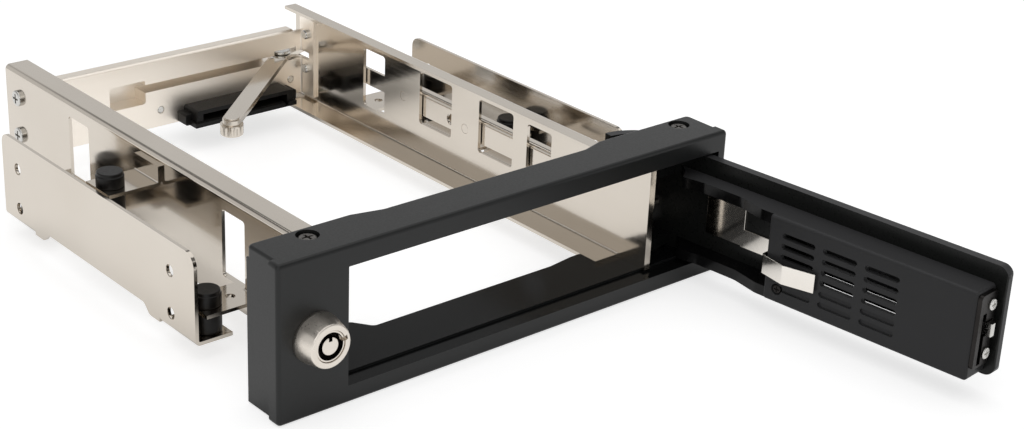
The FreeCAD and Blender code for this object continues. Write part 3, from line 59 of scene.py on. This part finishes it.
def linear(code: str) -> tuple[float, float, float, float]:
    """Turn an sRGB hex colour to linear.

    Args:
        code: Colour as six hex digits after a hash.

    Returns:
        Linear red, green, blue and an alpha of one.
    """
    parts = [int(code[i:i + 2], 16) / 255 for i in (1, 3, 5)]
    lin = [c / 12.92 if c <= 0.04045 else ((c + 0.055) / 1.055) ** 2.4 for c in parts]
    return (lin[0], lin[1], lin[2], 1.0)


def per_metre(size_mm: float) -> float:
    """Texture scale whose pattern repeats at a size in millimetres."""
    return 1000.0 / size_mm


def add(tree: bpy.types.NodeTree, kind: str, settings: dict[str, Any] | None = None,
        inputs: dict[str | int, Any] | None = None) -> bpy.types.Node:
    """Add a node with its settings, values and links.

    Args:
        tree: Node tree that gets the node.
        kind: Node type name.
        settings: Attributes of the node itself.
        inputs: Values, or the output sockets that feed them, by the name or number of the input.

    Returns:
        The new node.
    """
    node = tree.nodes.new(kind)
    for name, value in (settings or {}).items():
        setattr(node, name, value)
    for name, value in (inputs or {}).items():
        socket = node.inputs[name]
        if isinstance(value, bpy.types.NodeSocket):
            tree.links.new(value, socket)
        else:
            socket.default_value = value
    return node


class Grain(Enum):
    """Way the rolling or turning marks of a metal run."""

    ALONG_Y = (1.0, 0.03, 1.0)
    ALONG_X = (0.03, 1.0, 1.0)
    EVEN = (1.0, 1.0, 1.0)


@dataclass(frozen=True)
class Finish:
    """Surface that a piece is given."""

    name: str

    def material(self) -> bpy.types.Material:
        """Build the finish.

        Returns:
            The material, made once and found again by its name.
        """
        if self.name in bpy.data.materials:
            return bpy.data.materials[self.name]
        made = bpy.data.materials.new(self.name)
        made.use_nodes = True
        self.paint(made.node_tree, made.node_tree.nodes["Principled BSDF"])
        return made

    def paint(self, tree: bpy.types.NodeTree, shader: bpy.types.Node) -> None:
        """Feed the shader; each kind of surface does this its own way."""
        raise NotImplementedError


@dataclass(frozen=True)
class PlatedMetal(Finish):
    """Plated, blackened or bare metal: a mirror, softened by fine rolling or turning marks."""

    pale: str
    deep: str
    rough_low: float
    rough_high: float
    grain: Grain
    grain_mm: float = 1.2
    cloud_mm: float = 38.0
    wave_mm: float = 26.0
    wave_depth_mm: float = 0.006

    def paint(self, tree: bpy.types.NodeTree, shader: bpy.types.Node) -> None:
        """Draw cloudy plating, marks in its gloss and a slight wave in the sheet.

        Args:
            tree: Node tree of the new material.
            shader: Its shader.
        """
        place = add(tree, "ShaderNodeTexCoord").outputs["Object"]
        run = add(tree, "ShaderNodeMapping", None, {"Vector": place, "Scale": self.grain.value})
        marks = add(tree, "ShaderNodeTexNoise", None,
                    {"Vector": run.outputs[0], "Scale": per_metre(self.grain_mm),
                     "Detail": 4.0, "Roughness": 0.6})
        cloud = add(tree, "ShaderNodeTexNoise", None,
                    {"Vector": place, "Scale": per_metre(self.cloud_mm), "Detail": 2.0})
        tone = add(tree, "ShaderNodeMix", {"data_type": "RGBA"},
                   {"Factor": cloud.outputs["Fac"], "A": linear(self.pale), "B": linear(self.deep)})
        rough = add(tree, "ShaderNodeMapRange", None,
                    {"Value": marks.outputs["Fac"], "From Min": NOISE_LOW, "From Max": NOISE_HIGH,
                     "To Min": self.rough_low, "To Max": self.rough_high})
        wave = add(tree, "ShaderNodeTexNoise", None,
                   {"Vector": place, "Scale": per_metre(self.wave_mm), "Detail": 1.0})
        swell = add(tree, "ShaderNodeBump", None,
                    {"Height": wave.outputs["Fac"], "Distance": self.wave_depth_mm * MM, "Strength": 1.0})
        tree.links.new(tone.outputs["Result"], shader.inputs["Base Color"])
        tree.links.new(rough.outputs[0], shader.inputs["Roughness"])
        tree.links.new(swell.outputs[0], shader.inputs["Normal"])
        shader.inputs["Metallic"].default_value = 1.0


@dataclass(frozen=True)
class MouldedPlastic(Finish):
    """Injection-moulded plastic: a spark-eroded grain that spreads the gloss."""

    base: str
    worn: str
    rough_low: float
    rough_high: float
    grain_mm: float = 0.55
    grain_depth_mm: float = 0.012
    cloud_mm: float = 30.0
    ior: float = 1.53
    gloss: float = 0.5

    def paint(self, tree: bpy.types.NodeTree, shader: bpy.types.Node) -> None:
        """Draw cloudy colour and a moulded grain.

        Args:
            tree: Node tree of the new material.
            shader: Its shader.
        """
        place = add(tree, "ShaderNodeTexCoord").outputs["Object"]
        # Real grain is near 0.1 mm; it is drawn coarser so that it shows at the render's size.
        grain = add(tree, "ShaderNodeTexNoise", None,
                    {"Vector": place, "Scale": per_metre(self.grain_mm), "Detail": 3.0, "Roughness": 0.55})
        cloud = add(tree, "ShaderNodeTexNoise", None,
                    {"Vector": place, "Scale": per_metre(self.cloud_mm), "Detail": 3.0})
        tone = add(tree, "ShaderNodeMix", {"data_type": "RGBA"},
                   {"Factor": cloud.outputs["Fac"], "A": linear(self.base), "B": linear(self.worn)})
        rough = add(tree, "ShaderNodeMapRange", None,
                    {"Value": grain.outputs["Fac"], "From Min": NOISE_LOW, "From Max": NOISE_HIGH,
                     "To Min": self.rough_low, "To Max": self.rough_high})
        dents = add(tree, "ShaderNodeBump", None,
                    {"Height": grain.outputs["Fac"], "Distance": self.grain_depth_mm * MM, "Strength": 0.6})
        tree.links.new(tone.outputs["Result"], shader.inputs["Base Color"])
        tree.links.new(rough.outputs[0], shader.inputs["Roughness"])
        tree.links.new(dents.outputs[0], shader.inputs["Normal"])
        shader.inputs["IOR"].default_value = self.ior
        shader.inputs["Specular IOR Level"].default_value = self.gloss


@dataclass(frozen=True)
class CircuitBoard(Finish):
    """Green solder mask over copper: satin film with slightly raised traces."""

    mask: str
    trace: str
    pitch_mm: float = 1.27
    trace_mm: float = 0.03
    rough: float = 0.32

    def paint(self, tree: bpy.types.NodeTree, shader: bpy.types.Node) -> None:
        """Draw the mask with the traces under it.

        Args:
            tree: Node tree of the new material.
            shader: Its shader.
        """
        place = add(tree, "ShaderNodeTexCoord").outputs["Object"]
        upright = add(tree, "ShaderNodeMapping", None,
                      {"Vector": place, "Rotation": (math.radians(90), 0.0, 0.0)})
        traces = add(tree, "ShaderNodeTexBrick", {"offset": 0.5},
                     {"Vector": upright.outputs[0], "Scale": per_metre(self.pitch_mm) / 2, "Mortar Size": 0.06,
                      "Mortar Smooth": 0.1, "Brick Width": 4.0, "Row Height": 0.5})
        tone = add(tree, "ShaderNodeMix", {"data_type": "RGBA"},
                   {"Factor": traces.outputs["Fac"], "A": linear(self.mask), "B": linear(self.trace)})
        step = add(tree, "ShaderNodeBump", None,
                   {"Height": traces.outputs["Fac"], "Distance": self.trace_mm * MM, "Strength": 0.8})
        tree.links.new(tone.outputs["Result"], shader.inputs["Base Color"])
        tree.links.new(step.outputs[0], shader.inputs["Normal"])
        shader.inputs["Roughness"].default_value = self.rough


@dataclass(frozen=True)
class TableSheet(Finish):
    """Matt white paper: it glows just enough that the eye and the metal see it white."""

    base: str
    rough: float
    gloss: float
    lift: float
    painted_shade_reach: float
    painted_shade_samples: int = 8

    def paint(self, tree: bpy.types.NodeTree, shader: bpy.types.Node) -> None:
        """Lift the sheet to white; close to the part, its glow in the metal's mirror is dimmed as painted
        shade.

        Args:
            tree: Node tree of the new material.
            shader: Its shader.
        """
        shader.inputs["Base Color"].default_value = linear(self.base)
        shader.inputs["Roughness"].default_value = self.rough
        shader.inputs["Specular IOR Level"].default_value = self.gloss
        path = add(tree, "ShaderNodeLightPath").outputs
        # Painted shade: ambient occlusion dims the glow that glossy rays see near the part.
        painted_shade_ao = add(tree, "ShaderNodeAmbientOcclusion", {"samples": self.painted_shade_samples},
                   {"Distance": self.painted_shade_reach})
        mirrored = add(tree, "ShaderNodeMath", {"operation": "MULTIPLY"},
                       {0: path["Is Glossy Ray"], 1: painted_shade_ao.outputs["AO"]})
        direct = add(tree, "ShaderNodeMath", {"operation": "MAXIMUM"},
                     {0: path["Is Camera Ray"], 1: path["Is Transmission Ray"]})
        seen = add(tree, "ShaderNodeMath", {"operation": "MAXIMUM"},
                   {0: mirrored.outputs[0], 1: direct.outputs[0]})
        glow = add(tree, "ShaderNodeMath", {"operation": "MULTIPLY"}, {0: seen.outputs[0], 1: self.lift})
        shader.inputs["Emission Color"].default_value = linear("#FFFFFF")
        tree.links.new(glow.outputs[0], shader.inputs["Emission Strength"])


# Nickel plate on folded sheet: warm grey mirror that takes its brightness from the white table.
SHEET_NICKEL = PlatedMetal("nickel_plated_rolled_sheet", "#D6CFC5", "#C9C0B4", 0.1, 0.17, Grain.ALONG_Y)
# Dull nickel on the rear panel, its rolling marks across: cream, with soft broad reflections; its near-white
# base is painted light, standing in for strong light on the panel.
PANEL_NICKEL_PAINTED_LIGHT = PlatedMetal("nickel_plated_pressed_panel_painted_light", "#FFF8EE", "#FAF0E3", 0.36, 0.42, Grain.ALONG_X)
# Die-cast lock, nickel plated and lightly buffed: pale and satin, with blurred highlights.
LOCK_NICKEL = PlatedMetal("buffed_nickel_die_casting", "#E6DFD6", "#DAD2C7", 0.26, 0.36, Grain.EVEN,
                          grain_mm=0.6, cloud_mm=12.0, wave_mm=8.0, wave_depth_mm=0.006)
# Inside of the keyway: painted shade down in the narrow ring, dark brown and dull.
KEYWAY_PAINTED_SHADE = PlatedMetal("keyway_metal_painted_shade", "#2A221C", "#1A1512", 0.4, 0.6, Grain.EVEN,
                           grain_mm=0.4, cloud_mm=3.0, wave_mm=4.0, wave_depth_mm=0.004)
# Zinc-plated screws and pins: bright, faintly cool, with small scuffs.
BRIGHT_STEEL = PlatedMetal("zinc_plated_turned_steel", "#D4D3D0", "#BDBBB6", 0.16, 0.3, Grain.EVEN,
                           grain_mm=0.5, cloud_mm=6.0, wave_mm=6.0, wave_depth_mm=0.005)
# Bare spring strip: nearly white steel with a fine drawn grain.
SPRING_STEEL = PlatedMetal("drawn_spring_strip", "#ECE8E2", "#DFD9D0", 0.07, 0.13, Grain.ALONG_X,
                           grain_mm=0.8, cloud_mm=14.0, wave_mm=14.0, wave_depth_mm=0.003)
# Black oxide on the latch plate and cover screw: dark with an oily gloss.
BLACK_STEEL = PlatedMetal("black_oxide_screws", "#343231", "#282625", 0.3, 0.44, Grain.EVEN,
                          grain_mm=0.4, cloud_mm=5.0, wave_mm=6.0, wave_depth_mm=0.005)
# Black zinc on the frame's screws: dull grey-black, lighter than the plastic round it.
ZINC_SCREWS = PlatedMetal("black_zinc_screws", "#7C7976", "#6C6966", 0.3, 0.42, Grain.EVEN,
                          grain_mm=0.4, cloud_mm=5.0, wave_mm=6.0, wave_depth_mm=0.005)
# Gold flash on the contacts: a clean yellow glint.
GOLD = PlatedMetal("gold_flashed_contacts", "#E2B866", "#D2A552", 0.18, 0.28, Grain.EVEN,
                   grain_mm=0.4, cloud_mm=5.0, wave_mm=5.0, wave_depth_mm=0.004)
# Front frame in black ABS with a fine moulded grain: satin, greyer where it faces the light.
FRAME_ABS = MouldedPlastic("black_abs_grained", "#181919", "#1F2020", 0.3, 0.4, gloss=0.32)
# Inner faces of the frame, from a polished core: smoother, and darker than the frame as painted shade in the
# opening; black that shows little but what it mirrors.
FRAME_CORE_PAINTED_SHADE_ABS = MouldedPlastic("black_abs_polished_core_painted_shade", "#0C0D0D", "#111212", 0.18, 0.23,
                                grain_mm=1.2, grain_depth_mm=0.001, gloss=0.07)
# Door mouldings in the same ABS from a duller tool: even charcoal with little gloss.
DOOR_ABS = MouldedPlastic("black_abs_satin", "#373738", "#3D3D3E", 0.3, 0.38, gloss=0.12)
# Hinge arms from a polished tool: piano black.
DOOR_GLOSS_ABS = MouldedPlastic("black_abs_gloss", "#090909", "#0D0D0E", 0.12, 0.18,
                                grain_mm=1.2, grain_depth_mm=0.001, gloss=0.2)
# Inner face of the door, where the tool was left plain: a faint sheen; its near-black colour is painted shade
# in the gap behind the rim.
DOOR_CORE_PAINTED_SHADE_ABS = MouldedPlastic("black_abs_core_face_painted_shade", "#171817", "#1B1C1B", 0.26, 0.32,
                               grain_mm=1.2, grain_depth_mm=0.001, gloss=0.2)
# Connector bodies in glass-filled nylon: dull black with little sheen.
CONNECTOR_NYLON = MouldedPlastic("black_nylon_glass_filled", "#141413", "#1B1A19", 0.32, 0.46,
                                 grain_mm=0.4, grain_depth_mm=0.01, cloud_mm=10.0, gloss=0.16)
# Unfilled nylon of the power header: warm milky white with a soft sheen.
WHITE_NYLON = MouldedPlastic("natural_nylon", "#E4DFD2", "#D8D2C4", 0.4, 0.52,
                             grain_mm=0.5, grain_depth_mm=0.01, cloud_mm=10.0)
# Moulded rubber of the dampers: deep black with a low satin sheen.
RUBBER = MouldedPlastic("black_moulded_rubber", "#0D0C0B", "#151312", 0.3, 0.42,
                        grain_mm=0.7, grain_depth_mm=0.015, cloud_mm=7.0, ior=1.52, gloss=0.26)
# Backplane laminate: green film with faint traces under it.
BOARD = CircuitBoard("green_solder_mask_laminate", "#1C4A2C", "#2F6B3E")
# Paper on the table: white to the eye, with the part's soft shadow on it; close to the part, the glow the metal
# mirrors is dimmed as painted shade.
TABLE_PAPER = TableSheet("matt_white_table", "#C0C0C0", rough=0.9, gloss=0.1, lift=0.68, painted_shade_reach=18.0 * MM)


def dress(node: str, finish: Finish) -> None:
    """Give a CAD node its finish.

    Args:
        node: CAD node name.
        finish: Finish whose material it gets.
    """
    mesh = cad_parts[node].data
    mesh.materials.clear()
    mesh.materials.append(finish.material())
    LOG.info("dressed %s in %s", node, finish.name)


def rounded(node: str, body: str, finish: Finish, edge_mm: float, steps: int = 2, second: Finish | None = None,
            where: Callable[[Vector, Vector], bool] | None = None) -> None:
    """Stand a copy of a CAD node in its place with its sharp edges rounded.

    Args:
        node: CAD node name.
        body: Body that the piece rides on.
        finish: Finish of the piece.
        edge_mm: Width of the rounding.
        steps: Segments across the rounding.
        second: Finish of some of its faces.
        where: Test on a face's middle in millimetres and its normal that picks those faces.
    """
    bm = bmesh.new()
    bm.from_mesh(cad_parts[node].data)
    bmesh.ops.remove_doubles(bm, verts=bm.verts, dist=MERGE_MM * MM)
    bmesh.ops.dissolve_limit(bm, angle_limit=math.radians(FLAT_DEG), verts=bm.verts, edges=bm.edges)
    turn = math.radians(SHARP_DEG)
    sharp = [e for e in bm.edges if len(e.link_faces) == 2 and e.calc_face_angle(0.0) > turn]
    bmesh.ops.bevel(bm, geom=sharp, offset=edge_mm * MM, offset_type="OFFSET", segments=steps, profile=0.5,
                    affect="EDGES", clamp_overlap=True, material=-1)
    for face in bm.faces:
        face.smooth = True
        if where and where(face.calc_center_median_weighted() / MM, face.normal):
            face.material_index = 1
    piece = to_object(bm, node + "_finished")
    piece.data.materials.append(finish.material())
    if second:
        piece.data.materials.append(second.material())
    even = piece.modifiers.new("flat_faces", "WEIGHTED_NORMAL")
    even.mode = "FACE_AREA"
    even.weight = AREA_WEIGHT
    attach(piece, body)
    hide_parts(node)
    LOG.info("rounded %s, %d faces", node, len(piece.data.polygons))


def to_object(bm: bmesh.types.BMesh, name: str) -> bpy.types.Object:
    """Close a bmesh into a linked object at the origin.

    Args:
        bm: Finished bmesh, freed here.
        name: Object name.

    Returns:
        The object.
    """
    mesh = bpy.data.meshes.new(name)
    bm.to_mesh(mesh)
    bm.free()
    made = bpy.data.objects.new(name, mesh)
    bpy.context.scene.collection.objects.link(made)
    return made


@dataclass
class FrontFrame:
    """Moulded front frame and its two screws."""

    edge_mm: float = 0.4
    edge_steps: int = 3
    screw_edge_mm: float = 0.1
    open_x_mm: tuple[float, float] = (-53.9, 71.4)
    open_z_mm: tuple[float, float] = (4.8, 38.2)
    facing_front: float = 0.9

    def build(self) -> None:
        """Round the edges of the frame."""
        # Faces in the opening get the core finish, darkened as painted shade.
        rounded("bezel", "frame", FRAME_ABS, self.edge_mm, self.edge_steps, FRAME_CORE_PAINTED_SHADE_ABS, self.inside)

    def finish(self) -> None:
        """Round and dress the screws."""
        rounded("bezel_screws", "frame", ZINC_SCREWS, self.screw_edge_mm)

    def inside(self, at: Vector, normal: Vector) -> bool:
        """Pick the faces in and behind the opening.

        Args:
            at: Middle of a face in millimetres.
            normal: Its normal.

        Returns:
            Whether the face is in the opening, from the polished core and given painted shade.
        """
        across = self.open_x_mm[0] < at.x < self.open_x_mm[1]
        between = self.open_z_mm[0] < at.z < self.open_z_mm[1]
        return across and between and abs(normal.y) < self.facing_front


@dataclass
class Cage:
    """Folded side rails, rear panel and their screws."""

    edge_mm: float = 0.15

    def build(self) -> None:
        """Round the sheet edges."""
        # The rear panel's near-white nickel is painted light.
        for node, finish in (("left_rail", SHEET_NICKEL), ("right_rail", SHEET_NICKEL),
                             ("rear_panel", PANEL_NICKEL_PAINTED_LIGHT)):
            rounded(node, "frame", finish, self.edge_mm)

    def finish(self) -> None:
        """Dress the screws."""
        dress("panel_screws", BRIGHT_STEEL)


@dataclass
class SideMounts:
    """Side brackets carried on rubber dampers."""

    edge_mm: float = 0.15

    def build(self) -> None:
        """Round the edges of the brackets and dampers."""
        for node in ("left_bracket", "right_bracket"):
            rounded(node, "frame", SHEET_NICKEL, self.edge_mm)
        rounded("dampers", "frame", RUBBER, self.edge_mm)

    def finish(self) -> None:
        """Dress the screws."""
        dress("damper_screws", BRIGHT_STEEL)


@dataclass
class KeyLock:
    """Tubular key lock with its cam."""

    centre_mm: tuple[float, float] = (-63.35, 21.15)
    keyway_out_mm: tuple[float, float] = (0.5, 3.7)
    keyway_y_mm: tuple[float, float] = (-7.7, 0.0)
    edge_mm: float = 0.12

    def build(self) -> None:
        """Round the turned pieces and darken the keyway with painted shade."""
        rounded("lock_housing", "frame", LOCK_NICKEL, self.edge_mm)
        rounded("lock_plug", "lock", LOCK_NICKEL, self.edge_mm, second=KEYWAY_PAINTED_SHADE, where=self.in_keyway)

    def in_keyway(self, at: Vector, normal: Vector) -> bool:
        """Pick the walls and floor of the ring that takes the key.

        Args:
            at: Middle of a face in millimetres.
            normal: Its normal; not used.

        Returns:
            Whether the face is down in the ring.
        """
        out = math.hypot(at.x - self.centre_mm[0], at.z - self.centre_mm[1])
        in_ring = self.keyway_out_mm[0] < out < self.keyway_out_mm[1]
        return in_ring and self.keyway_y_mm[0] < at.y < self.keyway_y_mm[1]

    def finish(self) -> None:
        """Dress the pieces behind the plate."""
        for node in ("lock_nut", "lock_cam", "cam_screw"):
            dress(node, BRIGHT_STEEL)


@dataclass
class Door:
    """Swinging door: outer shell, inner cover, leaf spring and latch."""

    edge_mm: float = 0.2
    strip_edge_mm: float = 0.12
    hinge_mm: tuple[float, float] = (55.0, 11.4)
    swing_deg: float = 96.0
    arms_from_mm: float = 12.2
    shell_inner_mm: float = 0.5

    def build(self) -> None:
        """Round the edges of the mouldings, spring and latch."""
        # The shell's inner face is darkened as painted shade.
        rounded("door_shell", "door", DOOR_ABS, self.edge_mm, second=DOOR_CORE_PAINTED_SHADE_ABS, where=self.shell_inside)
        rounded("door_cover", "door", DOOR_ABS, self.edge_mm, second=DOOR_GLOSS_ABS, where=self.arms)
        for node, body, finish in (("leaf_spring", "door", SPRING_STEEL), ("latch_plate", "door", BLACK_STEEL),
                                   ("cover_screw", "door", BLACK_STEEL), ("latch_screws", "door", BRIGHT_STEEL),
                                   ("latch_bolt", "bolt", BRIGHT_STEEL), ("hinge_pins", "frame", BRIGHT_STEEL)):
            rounded(node, body, finish, self.strip_edge_mm)

    def closed(self, at: Vector) -> tuple[float, float]:
        """Place of a point with the door shut.

        Args:
            at: Point in millimetres with the door open.

        Returns:
            Its X and Y with the door shut.
        """
        turn = math.radians(-self.swing_deg)
        dx = at.x - self.hinge_mm[0]
        dy = at.y - self.hinge_mm[1]
        return (self.hinge_mm[0] + dx * math.cos(turn) - dy * math.sin(turn),
                self.hinge_mm[1] + dx * math.sin(turn) + dy * math.cos(turn))

    def arms(self, at: Vector, normal: Vector) -> bool:
        """Pick the faces of the hinge arms."""
        return self.closed(at)[0] > self.arms_from_mm

    def shell_inside(self, at: Vector, normal: Vector) -> bool:
        """Pick the inner face of the shell."""
        return self.closed(at)[1] > self.shell_inner_mm

    def finish(self) -> None:
        """Dress the pieces inside."""
        for node in ("latch_spring", "crank_pin"):
            dress(node, BRIGHT_STEEL)


@dataclass
class EjectLinkage:
    """Slide bar and lever that push the drive out as the door opens."""

    edge_mm: float = 0.15

    def build(self) -> None:
        """Round the edges of the bar, lever, stud and rivets."""
        for node, body in (("slide_bar", "slide"), ("ejector_lever", "lever"), ("pusher_stud", "lever"),
                           ("slide_rivets", "frame")):
            rounded(node, body, SHEET_NICKEL, self.edge_mm)

    def finish(self) -> None:
        """Dress the pins."""
        for node in ("slide_pin", "lever_pivot"):
            dress(node, BRIGHT_STEEL)


@dataclass
class Backplane:
    """Connector board behind the drive."""

    edge_mm: float = 0.15

    def build(self) -> None:
        """Round the socket's edges."""
        rounded("sata_receptacle", "frame", CONNECTOR_NYLON, self.edge_mm)

    def finish(self) -> None:
        """Dress the board and its connectors."""
        dress("backplane_board", BOARD)
        dress("board_screws", BRIGHT_STEEL)
        dress("receptacle_contacts", GOLD)
        dress("data_header", CONNECTOR_NYLON)
        dress("power_header", WHITE_NYLON)


@dataclass(frozen=True)
class Softbox:
    """Square lamp: its place and side in metres and its power in watts."""

    name: str
    at: tuple[float, float, float]
    size: float
    power: float

    def hang(self, aim: tuple[float, float, float]) -> None:
        """Hang the lamp so that it faces a point.

        Args:
            aim: Point in metres.
        """
        data = bpy.data.lights.new(self.name, "AREA")
        data.size = self.size
        data.energy = self.power
        made = bpy.data.objects.new(self.name, data)
        made.location = self.at
        toward = Vector(aim) - Vector(self.at)
        made.rotation_euler = toward.to_track_quat("-Z", "Y").to_euler()
        bpy.context.scene.collection.objects.link(made)


@dataclass
class Studio:
    """White table, soft light and the photograph's camera."""

    eye_mm: tuple[float, float, float] = (-306.67, -344.24, 241.86)
    look: tuple[float, float, float] = (0.6055, 0.6831, -0.4083)
    upward: tuple[float, float, float] = (0.2369, 0.3351, 0.9119)
    focal_px: float = 1995.0
    sensor_mm: float = 36.0
    near_clip: float = 0.01
    aim: tuple[float, float, float] = (0.0, 0.08, 0.02)
    lamps: tuple[Softbox, ...] = (Softbox("key_softbox", (0.1, 0.2, 1.7), 2.4, 17.0),
                                  Softbox("front_softbox", (-0.9, -0.8, 1.0), 1.2, 4.0))
    floor_half: float = 3.0
    floor_drop_mm: float = 0.05
    sky: float = 0.3
    surround: float = 0.72
    ceiling: float = 0.16
    sweep_deg: tuple[float, float] = (30.0, 37.0)

    def build(self) -> None:
        """Make the table, lights and camera."""
        self.table()
        self.world()
        for lamp in self.lamps:
            lamp.hang(self.aim)
        self.camera()

    def table(self) -> None:
        """Lay the paper that the part stands on."""
        bm = bmesh.new()
        bmesh.ops.create_grid(bm, x_segments=2, y_segments=2, size=self.floor_half)
        bmesh.ops.translate(bm, vec=(0.0, 0.0, -self.floor_drop_mm * MM), verts=bm.verts)
        top = to_object(bm, "table_top")
        top.data.materials.append(TABLE_PAPER.material())

    def world(self) -> None:
        """Pale sweep under a dim ceiling in the metal's mirror; the eye sees it white."""
        world = bpy.data.worlds.new("white_tent")
        world.use_nodes = True
        tree = world.node_tree
        path = add(tree, "ShaderNodeLightPath").outputs
        mirrored = add(tree, "ShaderNodeMath", {"operation": "MAXIMUM"},
                       {0: path["Is Glossy Ray"], 1: path["Is Transmission Ray"]})
        toward = add(tree, "ShaderNodeTexCoord").outputs["Generated"]
        height = add(tree, "ShaderNodeSeparateXYZ", None, {"Vector": toward}).outputs["Z"]
        low, high = (math.sin(math.radians(angle)) for angle in self.sweep_deg)
        studio = add(tree, "ShaderNodeMapRange", {"interpolation_type": "SMOOTHSTEP"},
                     {"Value": height, "From Min": low, "From Max": high,
                      "To Min": self.surround, "To Max": self.ceiling})
        around = add(tree, "ShaderNodeMapRange", None,
                     {"Value": mirrored.outputs[0], "To Min": self.sky, "To Max": studio.outputs[0]})
        level = add(tree, "ShaderNodeMapRange", None,
                    {"Value": path["Is Camera Ray"], "To Min": around.outputs[0], "To Max": 1.0})
        back = tree.nodes["Background"]
        back.inputs["Color"].default_value = linear("#FFFFFF")
        tree.links.new(level.outputs[0], back.inputs["Strength"])
        bpy.context.scene.world = world

    def camera(self) -> None:
        """Stand the camera where the photograph was taken."""
        look = Vector(self.look).normalized()
        side = look.cross(Vector(self.upward)).normalized()
        up = side.cross(look)
        data = bpy.data.cameras.new("photo_camera")
        data.sensor_fit = "HORIZONTAL"
        data.sensor_width = self.sensor_mm
        data.lens = self.focal_px / IMAGE_WIDTH * self.sensor_mm
        data.clip_start = self.near_clip
        made = bpy.data.objects.new("photo_camera", data)
        turn = Matrix((side, up, -look)).transposed().to_4x4()
        made.matrix_world = Matrix.Translation(Vector(self.eye_mm) * MM) @ turn
        bpy.context.scene.collection.objects.link(made)
        bpy.context.scene.camera = made


def main() -> None:
    """Build and dress every sub-assembly, then set up the studio."""
    logging.basicConfig(level=logging.INFO, format="%(name)s %(message)s")
    bpy.context.scene.view_settings.view_transform = "Standard"
    for part in (FrontFrame(), Cage(), SideMounts(), KeyLock(), Door(), EjectLinkage(), Backplane()):
        part.build()
        part.finish()
    Studio().build()


if __name__ == "__main__":
    main()
